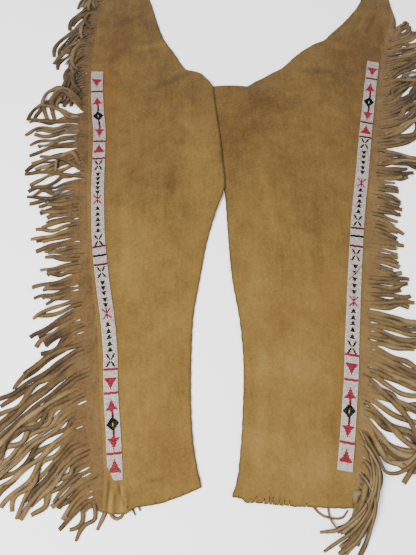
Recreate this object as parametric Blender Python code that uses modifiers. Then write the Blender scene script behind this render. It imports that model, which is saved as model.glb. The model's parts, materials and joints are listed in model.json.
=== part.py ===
"""Pair of fringed leather chaps with beaded strips, laid out flat with the front up.

Metres, +Z up. The hems point to -Y and the waist to +Y. The wearer's right leg lies at -X.
Each leg is a flat tube of two hides, a back on the floor and a front on it, closed at the
outer seam by a flap that is cut into fringe.
"""

import math

import bmesh
import bpy
import numpy as np

# The hides
HIDE = 0.0016
SEAM_GAP = 0.0003
FRONT_REST = HIDE + SEAM_GAP  # height of the front's inner face where it lies on the back
STACK = FRONT_REST + HIDE  # back and front together
PUFF = 0.0020  # how far a front rises off its back between the seams
PUFF_CLEAR = 0.08  # share of the width, at each edge, where the front lies tight on the back
PUFF_RAMP = 0.25  # share of the width over which it then rises
LEG_ROWS = 22  # from the hem to the crotch
RISE_ROWS = 9  # from the crotch to the foot of the hip tab

# Where the right leg crosses the left one at the crotch
LAP_LIFT = STACK + 0.0005
LAP_FOOT = 0.064  # y where the right leg begins to climb
LAP_CLIMB = 0.100  # it has climbed this far along, before the legs meet
LAP_HIGH = 0.413
LAP_RAMP = 0.055  # width of the slope beside the left leg's edge
LAP_SPARE = 0.020  # from that slope to the edge
LAP_SHARE = 0.6  # the lift has ended by here across the right leg

# The belt loops at the hips
LOOP_WIDTH = 0.046
LOOP_HIDE = 0.0018
LOOP_TAIL = 0.028
LOOP_REACH = 0.052  # from the top of the hip tab to the inside of the fold
LOOP_RISE = 0.0014  # how far the upper layer bows above its tail
LOOP_SLOPE = 0.012  # length of the slope on each side of the tab's top edge
LOOP_TURNS = 8  # steps round the fold
TAB_LIFT = LOOP_HIDE + SEAM_GAP
TAB_RAMP = 0.030  # from the foot of the tab to where it lies on the tail
TAB_STEPS = 4
TAB_CALM = 0.040  # below the foot of the tab, where the front's puff and folds die out

# The beaded strips
STRIP_WIDTH = 0.024
STRIP_THICK = 0.0020
STRIP_ROWS = 36
STRIP_INSET = 0.003  # from the seam to the strip's outer edge
STRIP_GAP = 0.0007  # over the front, whose facets rise a little between their corners

# The fringe
FLAP_GAP = 0.0005  # from a seam to its flap
FLAP_LOW = 0.0004
FLAP_HIGH = FLAP_LOW + 2 * HIDE
STRAND_WIDTH = 0.0056
STRAND_TIP = 0.0046
STRAND_THICK = 0.0018
STRAND_STEP = 0.028  # length of one straight stretch of a strand
STRAND_CLEAR = 0.0005
LEVEL_CLEAR = 0.0002
FIRST_STEP = 0.009  # where a strand has parted from its neighbours
TURN_IN = 0.020  # a strand leaves square to the flap and has turned by here
LEVEL_LOW = 0.0015
LEVEL_STEP = STRAND_THICK + STRAND_CLEAR
LEVELS = 6
CLIMB = 0.022  # a strand has reached its own level by here
CELL = 0.001  # grid on which strands are kept off each other
BEND = 1.4  # above 1, a strand bends more towards its tip
STEEPEST_LEAVE = 50  # degrees, past which neighbours would touch where they leave the flap
JITTER = (0.12, 6, 13)  # of a strand's length, and of its two turns in degrees

# The middle of the laid-out pair, measured from the place that the tables below use
MIDDLE = (0.038, 0.182)

LEATHER_COLOUR = (0.33, 0.21, 0.09, 1.0)
FRINGE_COLOUR = (0.30, 0.19, 0.085, 1.0)
STRAP_COLOUR = (0.29, 0.18, 0.08, 1.0)
BEAD_COLOUR = (0.62, 0.60, 0.55, 1.0)

# Sections of each leg from the hem up: the inner edge, the outer seam, and how far the
# section bows towards the hem between them
RIGHT_LEG_SECTIONS = (
    # inner x, inner y, seam x, seam y, bow
    (-0.009, -0.342, -0.157, -0.371, 0.010),
    (-0.017, -0.310, -0.158, -0.330, 0.005),
    (-0.023, -0.273, -0.163, -0.285, 0.000),
    (-0.027, -0.211, -0.172, -0.215, 0.000),
    (-0.027, -0.129, -0.181, -0.129, 0.000),
    (-0.025, -0.077, -0.188, -0.077, 0.000),
    (-0.014, -0.005, -0.201, -0.005, 0.000),
    (0.002, 0.082, -0.214, 0.082, 0.000),
    (0.015, 0.128, -0.219, 0.128, 0.000),
    (0.030, 0.174, -0.223, 0.174, 0.000),
    (0.027, 0.240, -0.227, 0.240, 0.000),
    (0.021, 0.308, -0.231, 0.308, 0.000),
    (0.015, 0.355, -0.234, 0.340, 0.000),
    (0.010, 0.409, -0.237, 0.385, 0.000),
)
RIGHT_RISE_SECTIONS = (
    (0.010, 0.409, -0.237, 0.385, 0.000),
    (-0.002, 0.426, -0.238, 0.418, 0.000),
    (-0.016, 0.442, -0.238, 0.450, 0.000),
    (-0.042, 0.455, -0.237, 0.488, 0.000),
    (-0.069, 0.494, -0.235, 0.530, 0.000),
    (-0.088, 0.526, -0.233, 0.562, 0.000),
    (-0.108, 0.582, -0.230, 0.604, 0.000),
    (-0.125, 0.640, -0.222, 0.646, 0.000),
    (-0.141, 0.676, -0.211, 0.678, 0.000),
    (-0.150, 0.704, -0.203, 0.704, 0.000),
)
LEFT_LEG_SECTIONS = (
    (0.036, -0.355, 0.219, -0.368, 0.004),
    (0.044, -0.330, 0.224, -0.335, 0.002),
    (0.050, -0.288, 0.231, -0.290, 0.000),
    (0.056, -0.211, 0.242, -0.211, 0.000),
    (0.058, -0.162, 0.249, -0.162, 0.000),
    (0.053, -0.077, 0.260, -0.077, 0.000),
    (0.042, -0.005, 0.269, -0.005, 0.000),
    (0.035, 0.092, 0.283, 0.092, 0.000),
    (0.030, 0.174, 0.298, 0.174, 0.000),
    (0.020, 0.240, 0.309, 0.240, 0.000),
    (0.006, 0.308, 0.318, 0.290, 0.000),
    (-0.006, 0.360, 0.324, 0.322, 0.000),
    (-0.012, 0.404, 0.329, 0.345, 0.000),
)
LEFT_RISE_SECTIONS = (
    (-0.012, 0.404, 0.329, 0.345, 0.000),
    (0.014, 0.411, 0.332, 0.362, 0.000),
    (0.044, 0.413, 0.336, 0.380, 0.000),
    (0.072, 0.415, 0.339, 0.400, 0.000),
    (0.101, 0.426, 0.345, 0.428, 0.000),
    (0.130, 0.444, 0.351, 0.460, 0.000),
    (0.157, 0.465, 0.357, 0.488, 0.000),
    (0.190, 0.497, 0.365, 0.520, 0.000),
    (0.216, 0.517, 0.373, 0.545, 0.000),
    (0.243, 0.537, 0.380, 0.567, 0.000),
    (0.278, 0.568, 0.387, 0.590, 0.000),
    (0.302, 0.597, 0.390, 0.612, 0.000),
    (0.320, 0.622, 0.389, 0.632, 0.000),
    (0.333, 0.650, 0.386, 0.650, 0.000),
)

# Width of the flap beyond the seam, before the cuts of the fringe begin
RIGHT_FLAP = (
    # y, width
    (-0.371, 0.016),
    (-0.342, 0.020),
    (-0.317, 0.030),
    (-0.276, 0.042),
    (-0.235, 0.033),
    (-0.187, 0.027),
    (-0.121, 0.029),
    (-0.041, 0.029),
    (0.041, 0.021),
    (0.122, 0.020),
    (0.207, 0.013),
    (0.296, 0.010),
    (0.367, 0.008),
    (0.690, 0.008),
)
LEFT_FLAP = (
    (-0.368, 0.008),
    (-0.303, 0.009),
    (-0.258, 0.012),
    (-0.211, 0.014),
    (-0.171, 0.016),
    (-0.121, 0.018),
    (-0.041, 0.015),
    (0.029, 0.016),
    (0.133, 0.019),
    (0.200, 0.015),
    (0.269, 0.017),
    (0.319, 0.020),
    (0.379, 0.018),
    (0.441, 0.012),
    (0.560, 0.009),
)

# How the strands lie, from the hem up: length, and the turn towards the hem, in degrees
# from straight out, that a strand has near its root and at its tip
RIGHT_FAN = (
    # y, length, leave, end
    (-0.371, 0.070, 48, 75),
    (-0.350, 0.080, 44, 72),
    (-0.325, 0.115, 42, 58),
    (-0.300, 0.170, 38, 52),
    (-0.270, 0.205, 34, 44),
    (-0.235, 0.205, 32, 36),
    (-0.205, 0.195, 34, 34),
    (-0.175, 0.170, 36, 38),
    (-0.150, 0.115, 38, 46),
    (-0.110, 0.100, 40, 30),
    (-0.070, 0.080, 28, 24),
    (-0.020, 0.068, 18, 14),
    (0.030, 0.066, 8, 8),
    (0.075, 0.074, 8, 4),
    (0.120, 0.084, 18, 6),
    (0.185, 0.092, 22, 4),
    (0.210, 0.118, 8, -2),
    (0.245, 0.112, 22, 30),
    (0.280, 0.108, 6, 16),
    (0.310, 0.122, -4, 12),
    (0.345, 0.124, -12, 8),
    (0.375, 0.100, -14, 30),
    (0.400, 0.070, 0, 40),
    (0.470, 0.066, 4, 38),
    (0.540, 0.070, 0, 60),
    (0.590, 0.074, 6, 70),
    (0.640, 0.070, 4, 62),
    (0.678, 0.068, -8, 40),
)
LEFT_FAN = (
    (-0.368, 0.115, 48, 112),
    (-0.345, 0.125, 48, 104),
    (-0.320, 0.120, 46, 92),
    (-0.290, 0.110, 44, 70),
    (-0.262, 0.110, 42, 44),
    (-0.225, 0.115, 38, 24),
    (-0.180, 0.120, 36, 12),
    (-0.140, 0.115, 36, 14),
    (-0.105, 0.100, 24, 4),
    (-0.075, 0.074, 14, 2),
    (-0.040, 0.070, 4, -18),
    (0.000, 0.066, 4, -4),
    (0.035, 0.050, 16, 12),
    (0.070, 0.058, 30, 58),
    (0.130, 0.060, 32, 58),
    (0.160, 0.048, 20, 6),
    (0.190, 0.048, 12, -20),
    (0.215, 0.080, 8, 12),
    (0.250, 0.092, 12, 2),
    (0.275, 0.104, -4, -50),
    (0.310, 0.106, -12, -46),
    (0.350, 0.106, -22, -34),
    (0.400, 0.104, -24, -16),
    (0.450, 0.100, -22, -14),
    (0.490, 0.092, -6, 6),
    (0.525, 0.086, 6, -8),
    (0.560, 0.082, 0, -72),
)

# Strands that lie on top of the rest in loops and crossings of their own
RIGHT_LOOSE = (
    # y, length, leave, end
    (0.352, 0.165, -40, 118),
    (0.362, 0.150, -36, 104),
    (0.300, 0.130, -24, 4),
    (0.262, 0.120, 44, 20),
    (0.098, 0.095, 34, 4),
    (-0.128, 0.120, 12, 60),
    (-0.250, 0.200, 48, 30),
    (-0.362, 0.085, 48, 42),
)
LEFT_LOOSE = (
    (0.548, 0.090, -6, -96),
    (0.420, 0.110, 20, -40),
    (0.232, 0.090, -26, 20),
    (-0.092, 0.100, 40, -16),
    (-0.200, 0.125, 8, 44),
    (-0.300, 0.125, 22, 96),
    (-0.352, 0.130, 48, 196),
)

# Broad folds of the fronts: a soft ridge from one point to another
FOLD_FOOT = 1.6  # a ridge's foot, in its half widths
FOLD_ENDS = 0.15  # a ridge dies out over this share of its length on each side of its ends
RIGHT_FOLDS = (
    # from x, from y, to x, to y, half width, height
    (-0.141, -0.378, -0.144, -0.347, 0.008, 0.0032),
    (-0.118, -0.376, -0.122, -0.346, 0.009, 0.0028),
    (-0.120, -0.333, -0.060, -0.336, 0.010, 0.0010),
    (-0.205, 0.640, -0.170, 0.480, 0.022, 0.0013),
    (-0.100, -0.240, -0.070, 0.040, 0.030, 0.0012),
)
LEFT_FOLDS = (
    (0.358, 0.545, 0.370, 0.640, 0.012, 0.0020),
    (0.318, 0.540, 0.345, 0.620, 0.012, 0.0012),
    (0.090, 0.390, 0.210, 0.330, 0.026, 0.0013),
    (0.200, 0.450, 0.290, 0.410, 0.022, 0.0012),
    (0.130, -0.280, 0.150, 0.020, 0.034, 0.0012),
)

# Where the grids have their columns, as shares of the width from the inner edge to the seam
FRONT_SHARES = (0.0, 0.07, 0.20, 0.34, 0.48, 0.62, 0.74, 0.80, 0.86, 0.92, 0.97, 1.0)

LEGS = {
    "right": {
        "out": -1,
        "leg": RIGHT_LEG_SECTIONS,
        "rise": RIGHT_RISE_SECTIONS,
        "flap": RIGHT_FLAP,
        "fan": RIGHT_FAN,
        "loose": RIGHT_LOOSE,
        "folds": RIGHT_FOLDS,
        "strip": (-0.331, 0.452),
        "top": 0.766,
        "back_shares": (0.0, 0.07, 0.20, 0.34, 0.48, 1.0),
        "strands": 116,
        "seed": 5,
    },
    "left": {
        "out": 1,
        "leg": LEFT_LEG_SECTIONS,
        "rise": LEFT_RISE_SECTIONS,
        "flap": LEFT_FLAP,
        "fan": LEFT_FAN,
        "loose": LEFT_LOOSE,
        "folds": LEFT_FOLDS,
        "strip": (-0.316, 0.478),
        "top": 0.712,
        "back_shares": (0.0, 0.48, 1.0),
        "strands": 104,
        "seed": 11,
    },
}


def clear_scene():
    for obj in list(bpy.data.objects):
        bpy.data.objects.remove(obj)


def leather(name, colour, roughness):
    material = bpy.data.materials.new(name)
    material.use_nodes = True
    shader = material.node_tree.nodes["Principled BSDF"]
    shader.inputs["Base Color"].default_value = colour
    shader.inputs["Roughness"].default_value = roughness
    shader.inputs["Metallic"].default_value = 0.0
    return material


def add_object(name, mesh, material, collection):
    """An object laid out about the middle of the pair."""
    obj = bpy.data.objects.new(name, mesh)
    obj.location = (-MIDDLE[0], -MIDDLE[1], 0.0)
    mesh.materials.append(material)
    collection.objects.link(obj)
    return obj


def ease(t):
    """0 up to t = 0, 1 from t = 1, and a smooth step between."""
    t = np.clip(t, 0.0, 1.0)
    return t * t * (3.0 - 2.0 * t)


def smooth_curve(knots, places):
    """Points of the smooth curve through the knots, at shares 0 to 1 of its length."""
    knots = np.array(knots, float)
    steps = np.linalg.norm(np.diff(knots, axis=0), axis=1)
    at = np.concatenate([[0.0], np.cumsum(steps)])
    slopes = np.gradient(knots, at, axis=0)
    x = np.clip(np.asarray(places, float), 0.0, 1.0) * at[-1]
    i = np.clip(np.searchsorted(at, x, side="right") - 1, 0, len(at) - 2)
    span = (at[i + 1] - at[i])[:, None]
    t = ((x - at[i]) / (at[i + 1] - at[i]))[:, None]
    return (
        (2 * t**3 - 3 * t**2 + 1) * knots[i]
        + (t**3 - 2 * t**2 + t) * span * slopes[i]
        + (3 * t**2 - 2 * t**3) * knots[i + 1]
        + (t**3 - t**2) * span * slopes[i + 1]
    )


def leg_rows(leg):
    """Rows of a leg from the hem to the top, each as inner x, inner y, seam x, seam y, bow."""
    lower = smooth_curve(leg["leg"], np.linspace(0, 1, LEG_ROWS + 1))
    upper = smooth_curve(leg["rise"], np.linspace(0, 1, RISE_ROWS + 1))
    inner_x, foot, seam_x = leg["rise"][-1][:3]
    heights = [foot + TAB_RAMP * k / TAB_STEPS for k in range(1, TAB_STEPS + 1)]
    tab = [(inner_x, y, seam_x, y, 0.0) for y in [*heights, leg["top"]]]
    return np.vstack([lower, upper[1:], tab])


def inner_edge(leg, y):
    """The x of a leg's inner edge at a height y."""
    return np.interp(y, leg["rows"][:, 1], leg["rows"][:, 0])


def seam_edge(leg, y):
    """The x of a leg's outer seam at a height y."""
    return np.interp(y, leg["rows"][:, 3], leg["rows"][:, 2])


def lap_lift(x, y):
    """Height of the right leg where it lies on the left one's inner edge."""
    below_crotch = LEGS["left"]["rows"][: LEG_ROWS + 1]
    edge = np.interp(y, below_crotch[:, 1], below_crotch[:, 0])
    across = ease((x - edge + LAP_SPARE + LAP_RAMP) / LAP_RAMP)
    along = ease((y - LAP_FOOT) / LAP_CLIMB)
    return LAP_LIFT * across * along * (1 - ease((y - LAP_HIGH) / LAP_RAMP))


def tab_foot(leg):
    return leg["rise"][-1][1]


def tab_lift(leg, y):
    """Height of a hip tab where it lies on the lower tail of its belt loop."""
    return TAB_LIFT * ease((y - tab_foot(leg)) / TAB_RAMP)


def tab_fade(leg, y):
    """1 on the leg and 0 from the foot of the hip tab, which lies flat."""
    return 1 - ease((y - tab_foot(leg) + TAB_CALM) / TAB_CALM)


def back_height(leg, x, y, share):
    """Height of a back's under face; share is 0 at the inner edge and 1 at the seam."""
    lap = lap_lift(x, y) if leg["out"] < 0 and share < LAP_SHARE else 0.0
    return tab_lift(leg, y) + lap


def fold_height(leg, x, y):
    """Height of the soft ridges at a point of a front."""
    height = 0.0
    for x0, y0, x1, y1, half_width, high in leg["folds"]:
        run = np.array([x1 - x0, y1 - y0])
        length = np.linalg.norm(run)
        along = ((x - x0) * run[0] + (y - y0) * run[1]) / length**2
        off = abs((x - x0) * run[1] - (y - y0) * run[0]) / length
        start = ease((along + FOLD_ENDS) / (2 * FOLD_ENDS))
        stop = ease((1 + FOLD_ENDS - along) / (2 * FOLD_ENDS))
        height += high * (1 - ease(off / (FOLD_FOOT * half_width))) * start * stop
    return height


def front_height(leg, x, y, share):
    """Height of a front's inner face; share is 0 at the inner edge and 1 at the seam."""
    edge = min(share, 1 - share)
    rise = PUFF * ease((edge - PUFF_CLEAR) / PUFF_RAMP)
    hold = ease(edge / PUFF_CLEAR) if leg["out"] > 0 else ease(share / PUFF_CLEAR)
    loose = tab_fade(leg, y) * (rise + hold * fold_height(leg, x, y))
    return back_height(leg, x, y, share) + FRONT_REST + loose


def new_mesh(name, bm):
    mesh = bpy.data.meshes.new(name)
    bm.to_mesh(mesh)
    bm.free()
    return mesh


def thick_sheet(name, bm, thickness, material, collection):
    """A sheet of faces turned up and given its thickness upwards."""
    bmesh.ops.recalc_face_normals(bm, faces=bm.faces)
    if sum(face.normal.z for face in bm.faces) < 0:
        bmesh.ops.reverse_faces(bm, faces=bm.faces)
    mesh = new_mesh(name, bm)
    mesh.shade_smooth()
    obj = add_object(name, mesh, material, collection)
    wall = obj.modifiers.new("thickness", "SOLIDIFY")
    wall.thickness = thickness
    wall.offset = 1.0
    return obj


def panel(name, leg, shares, height, material, collection):
    """One hide of a leg: a grid from edge to edge, given its thickness upwards."""
    rows = leg["rows"]
    columns = len(shares) - 1
    bm = bmesh.new()
    bmesh.ops.create_grid(bm, x_segments=columns, y_segments=len(rows) - 1, size=0.5)
    for vert in bm.verts:
        column = int(round((vert.co.x + 0.5) * columns))
        row = rows[int(round((vert.co.y + 0.5) * (len(rows) - 1)))]
        share = shares[column]
        x = row[0] + (row[2] - row[0]) * share
        y = row[1] + (row[3] - row[1]) * share - row[4] * math.sin(math.pi * share)
        vert.co = (x, y, height(leg, x, y, share))
    return thick_sheet(name, bm, HIDE, material, collection)


def beaded_strip(name, leg, material, collection):
    """The beaded band: a grid laid on the front along the seam, and thickened."""
    ys = np.linspace(*leg["strip"], STRIP_ROWS + 1)
    seam = seam_edge(leg, ys)
    slope = np.gradient(seam, ys)
    bm = bmesh.new()
    bmesh.ops.create_grid(bm, x_segments=2, y_segments=STRIP_ROWS, size=0.5)
    for vert in bm.verts:
        k = int(round((vert.co.y + 0.5) * STRIP_ROWS))
        across = STRIP_INSET + (vert.co.x + 0.5) * STRIP_WIDTH
        inward = across * leg["out"] / math.hypot(1.0, slope[k])
        x = seam[k] - inward
        y = ys[k] + inward * slope[k]
        inner = inner_edge(leg, y)
        share = (x - inner) / (seam_edge(leg, y) - inner)
        vert.co = (x, y, front_height(leg, x, y, share) + HIDE + STRIP_GAP)
    return thick_sheet(name, bm, STRIP_THICK, material, collection)


def loop_path():
    """The middle of the strap, as y from the tab's top edge and z, from tail round to tail."""
    low = LOOP_HIDE / 2
    high = TAB_LIFT + STACK + SEAM_GAP + LOOP_HIDE / 2
    radius = (high + LOOP_RISE - low) / 2
    turn = LOOP_REACH - radius
    path = [(-LOOP_TAIL, low), (0.0, low), (turn, low)]
    for k in range(1, LOOP_TURNS):
        angle = math.pi * (k / LOOP_TURNS - 0.5)
        path.append((turn + radius * math.cos(angle), low + radius * (1 + math.sin(angle))))
    path += [(turn, high + LOOP_RISE), (LOOP_SLOPE, high + LOOP_RISE)]
    path += [(0.0, high + LOOP_RISE / 2), (-LOOP_SLOPE, high), (-LOOP_TAIL, high)]
    return path


def belt_loop(name, leg, material, collection):
    """A strap folded beyond the hip tab, with a tail below the tab and one on it."""
    inner_x, _, seam_x = leg["rise"][-1][:3]
    middle = (inner_x + seam_x) / 2
    path = loop_path()
    bm = bmesh.new()
    bmesh.ops.create_grid(bm, x_segments=1, y_segments=len(path) - 1, size=0.5)
    for vert in bm.verts:
        y, z = path[int(round((vert.co.y + 0.5) * (len(path) - 1)))]
        vert.co = (middle + vert.co.x * LOOP_WIDTH, leg["top"] + y, z)
    obj = add_object(name, new_mesh(name, bm), material, collection)
    wall = obj.modifiers.new("thickness", "SOLIDIFY")
    wall.thickness = LOOP_HIDE
    wall.offset = 0.0
    wall.use_even_offset = True
    return obj


def strand_plans(leg):
    """Every strand's length and two turns, from the hem up, and the heights between them."""
    fan = np.array(leg["fan"], float)
    ys = np.linspace(fan[0, 0], fan[-1, 0], leg["strands"] + 1)
    middles = (ys[:-1] + ys[1:]) / 2
    jitter = np.random.default_rng(leg["seed"]).uniform(-1, 1, (len(middles), 3))
    plans = []
    for y, (longer, out_turn, tip_turn) in zip(middles, jitter * JITTER):
        length, leave, end = (np.interp(y, fan[:, 0], fan[:, c]) for c in (1, 2, 3))
        leave = min(leave + out_turn, STEEPEST_LEAVE)
        plans.append((length * (1 + longer), leave, end + tip_turn))
    for y, *plan in leg["loose"]:
        plans[int(np.argmin(abs(middles - y)))] = tuple(plan)
    return ys, plans


def strand_line(out, root, plan, places):
    """Points in plan view and headings of a strand, at shares of its length."""
    length, leave, end = plan
    fine = np.linspace(0, 1, 121)
    turn = ease(fine * length / TURN_IN) * leave + (end - leave) * fine**BEND
    angle = np.radians(turn)
    heading = np.stack([out * np.cos(angle), -np.sin(angle)], axis=1)
    steps = (heading[1:] + heading[:-1]) / 2 * length * fine[1]
    points = np.vstack([[root], root + np.cumsum(steps, axis=0)])
    at = [np.interp(places, fine, line) for line in (*points.T, *heading.T)]
    return np.stack(at[:2], axis=1), np.stack(at[2:], axis=1)


def strand_heights(reach, level):
    """Height of a strand's middle, from its root in the flap to its own level."""
    root = (FLAP_LOW + FLAP_HIGH) / 2
    return root + (LEVEL_LOW + level * LEVEL_STEP - root) * ease(reach / CLIMB)


def covered(out, root, plan):
    """The grid cells under a strand once it has parted from its neighbours, and its reach there."""
    length = plan[0]
    places = np.linspace(FIRST_STEP / length, 1, int(1.25 * length / CELL))
    points, heading = strand_line(out, root, plan, places)
    side_way = np.stack([-heading[:, 1], heading[:, 0]], axis=1)
    half = STRAND_WIDTH / 2 + STRAND_CLEAR
    cells = {}
    for offset in np.linspace(-half, half, 9):
        for point, place in zip((points + offset * side_way) / CELL, places):
            cells[int(round(point[0])), int(round(point[1]))] = place * length
    return cells


def lay_strands(out, roots, plans):
    """Gives each strand the lowest level at which it clears the flap and those already laid."""
    clear = STRAND_THICK + LEVEL_CLEAR
    on_flap = FLAP_HIGH + STRAND_THICK / 2 + LEVEL_CLEAR
    laid = {}
    levels = []
    for root, plan in zip(roots, plans):
        cells = covered(out, root, plan)
        flap_ends = np.interp([y * CELL for _, y in cells], roots[:, 1], roots[:, 0])
        hits = []
        for level in range(LEVELS):
            count = 0
            for (cell, reach), flap_end in zip(cells.items(), flap_ends):
                z = strand_heights(reach, level)
                over_flap = out * (cell[0] * CELL - flap_end) < CELL
                count += over_flap and z < on_flap
                count += any(abs(z - other) < clear for other in laid.get(cell, ()))
            hits.append(count)
            if not count:
                break
        levels.append(int(np.argmin(hits)))
        for cell, reach in cells.items():
            laid.setdefault(cell, []).append(strand_heights(reach, levels[-1]))
    return levels


def add_strand(bm, root_ring, out, root, plan, level):
    """A tapering strand of four sides, from a ring of the flap's own vertices to its tip."""
    length = plan[0]
    steps = int(np.clip(round(length / STRAND_STEP), 2, 6))
    places = np.linspace(FIRST_STEP / length, 1, steps + 1)
    points, heading = strand_line(out, root, plan, places)
    heights = strand_heights(places * length, level)
    rings = [root_ring]
    for share, point, way, z in zip(places, points, heading, heights):
        half = (STRAND_WIDTH + (STRAND_TIP - STRAND_WIDTH) * share) / 2
        aside = np.array([-way[1], way[0]]) * half * out
        corners = ((-1, -1), (1, -1), (1, 1), (-1, 1))
        rings.append([
            bm.verts.new((*(point + s * aside), z + t * STRAND_THICK / 2)) for s, t in corners
        ])
    for a, b in zip(rings, rings[1:]):
        for i in range(4):
            j = (i + 1) % 4
            bm.faces.new((a[i], a[j], b[j], b[i]))
    bm.faces.new(rings[-1])


def fringe(name, leg, material, collection):
    """The flap beyond the seam and the strands cut into it, as one body."""
    out = leg["out"]
    ys, plans = strand_plans(leg)
    seam = seam_edge(leg, ys)
    flap_end = seam + out * np.interp(ys, *np.array(leg["flap"]).T)
    roots = np.column_stack([(flap_end[1:] + flap_end[:-1]) / 2, (ys[1:] + ys[:-1]) / 2])
    levels = lay_strands(out, roots, plans)

    bm = bmesh.new()
    posts = []
    for inner, outer, y in zip(seam + out * FLAP_GAP, flap_end, ys):
        corners = ((inner, FLAP_LOW), (outer, FLAP_LOW), (outer, FLAP_HIGH), (inner, FLAP_HIGH))
        posts.append([bm.verts.new((x, y, z)) for x, z in corners])
    for a, b in zip(posts, posts[1:]):
        for i in (0, 2, 3):
            j = (i + 1) % 4
            bm.faces.new((a[i], a[j], b[j], b[i]))
    bm.faces.new(posts[0])
    bm.faces.new(posts[-1])
    for k, (root, plan, level) in enumerate(zip(roots, plans, levels)):
        a, b = posts[k], posts[k + 1]
        add_strand(bm, [a[1], b[1], b[2], a[2]], out, root, plan, level)
    bmesh.ops.recalc_face_normals(bm, faces=bm.faces)
    return add_object(name, new_mesh(name, bm), material, collection)


def build():
    clear_scene()
    collection = bpy.data.collections.new("fringed_chaps")
    bpy.context.scene.collection.children.link(collection)
    hide = leather("hide", LEATHER_COLOUR, 0.9)
    strands = leather("fringe", FRINGE_COLOUR, 0.9)
    strap = leather("strap", STRAP_COLOUR, 0.85)
    beads = leather("beads", BEAD_COLOUR, 0.35)
    for leg in LEGS.values():
        leg["rows"] = leg_rows(leg)
    for side, leg in LEGS.items():
        panel(f"{side}_leg_back", leg, leg["back_shares"], back_height, hide, collection)
        panel(f"{side}_leg_front", leg, FRONT_SHARES, front_height, hide, collection)
        beaded_strip(f"{side}_beaded_strip", leg, beads, collection)
        belt_loop(f"{side}_belt_loop", leg, strap, collection)
        fringe(f"{side}_fringe", leg, strands, collection)


build()
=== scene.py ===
"""Looks of a pair of fringed leather chaps with beaded strips, laid out flat with the front up.

Metres, +Z up. The pair is worked out from the same tables and formulas as its solids, about
one fixed point, and every piece is then moved by MIDDLE, the middle of the laid-out pair.
"""

import json
import math

import bmesh
import bpy
import numpy as np
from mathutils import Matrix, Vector, noise

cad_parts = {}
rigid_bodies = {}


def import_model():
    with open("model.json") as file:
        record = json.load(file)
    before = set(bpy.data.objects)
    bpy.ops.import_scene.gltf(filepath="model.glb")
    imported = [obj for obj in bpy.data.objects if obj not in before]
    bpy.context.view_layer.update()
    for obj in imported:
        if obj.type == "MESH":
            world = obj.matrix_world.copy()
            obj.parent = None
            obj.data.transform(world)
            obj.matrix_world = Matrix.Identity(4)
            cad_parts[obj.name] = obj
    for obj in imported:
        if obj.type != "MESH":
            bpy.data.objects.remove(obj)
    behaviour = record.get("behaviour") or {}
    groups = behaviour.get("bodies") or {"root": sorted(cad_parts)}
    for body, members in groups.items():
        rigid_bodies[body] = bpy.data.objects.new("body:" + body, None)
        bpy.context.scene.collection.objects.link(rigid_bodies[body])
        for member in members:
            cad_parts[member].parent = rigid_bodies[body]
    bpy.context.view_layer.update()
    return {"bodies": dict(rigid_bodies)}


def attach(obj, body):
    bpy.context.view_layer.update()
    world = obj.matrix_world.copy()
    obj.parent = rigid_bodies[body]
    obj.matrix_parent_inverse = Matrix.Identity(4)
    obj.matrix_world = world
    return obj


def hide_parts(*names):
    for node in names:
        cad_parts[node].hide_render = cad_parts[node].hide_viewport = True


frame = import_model()

MIDDLE = (0.038, 0.182)

# The hides, in the sizes of the solids
HIDE = 0.0016
SEAM_GAP = 0.0003
FRONT_REST = HIDE + SEAM_GAP
STACK = FRONT_REST + HIDE
PUFF = 0.0020
PUFF_CLEAR = 0.08
PUFF_RAMP = 0.25
LAP_LIFT = STACK + 0.0005
LAP_FOOT = 0.064
LAP_CLIMB = 0.100
LAP_HIGH = 0.413
LAP_RAMP = 0.055
LAP_SPARE = 0.020
LAP_SHARE = 0.6
LOOP_WIDTH = 0.046
LOOP_HIDE = 0.0018
LOOP_TAIL = 0.028
LOOP_REACH = 0.052
LOOP_RISE = 0.0014
LOOP_SLOPE = 0.012
TAB_LIFT = LOOP_HIDE + SEAM_GAP
TAB_RAMP = 0.030
TAB_CALM = 0.040
STRIP_WIDTH = 0.0232
TUCKED = (0.019, 0.0085)  # height and width of the strip's corner that the hide hides
FOLD_FOOT = 1.6
FOLD_ENDS = 0.15

# Grids of the hides: rows from the hem to the crotch, to the hip tab and up the tab
FRONT_GRID = (150, 60, 14, 72)
BACK_GRID = (70, 30, 10, 24)
HEM_ROWS = 10
HEM_SHARE = 0.024  # the hem's finer rows reach this share of the way to the crotch
EDGE_THIN = 0.55  # a hide's thickness at its cut edge
EDGE_BAND = 0.0035  # width of the band of painted shade along a cut edge
DIP_REACH = 0.25  # a dip in the inner edge is gone by this share of the width
CREASE_SHADING = 420  # how much darker painted shade makes a trough, and painted highlight a ridge, for each metre
WAVE_SCALES = ((26, 0.0005), (70, 0.0002))  # per metre, and height

# The fringe
FLAP_GAP = 0.0001
FLAP_LOW = 0.0004
FLAP_HIGH = FLAP_LOW + 2 * HIDE
STRAND_THICK = 0.0018
PITCHES = (
    # y, distance between the cuts
    (-0.40, 0.0078),
    (0.30, 0.0076),
    (0.38, 0.0064),
    (0.70, 0.0060),
)
BUNDLES = (2, 3, 3, 4, 5, 6, 7, 8)  # strands that lie together
BUNDLE_CLOSE = (0.68, 0.98)  # their spacing, as a share of their width
BUNDLE_BY = 0.040  # they have come together by here
DRIFTS = (0.0004, 0.0010, 0.0018, 0.0030, 0.0050, 0.0065)  # how far they sway aside
STRAY_SHARE = 0.16
STRAY_TURN = 30
TURN_IN = 0.020
FUSED = (-7, -7, 0, 2, 4, 6)  # rings beyond the flap before a strand's sides take painted shade
STEEPEST_LEAVE = 54
JITTER = (0.08, 4, 10)  # of a bundle's length, and of its turns near the root and at the tip
FLAP_STEPS = 7
SLIT_STARTS = (1, 2, 3, 3, 4, 4, 5, 5, 5, 6, 6, 6)  # where cuts show first, in those steps
ACROSS = np.array([-1.0, -0.55, 0.0, 0.55, 1.0])
RING_STEP = 0.0045
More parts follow.
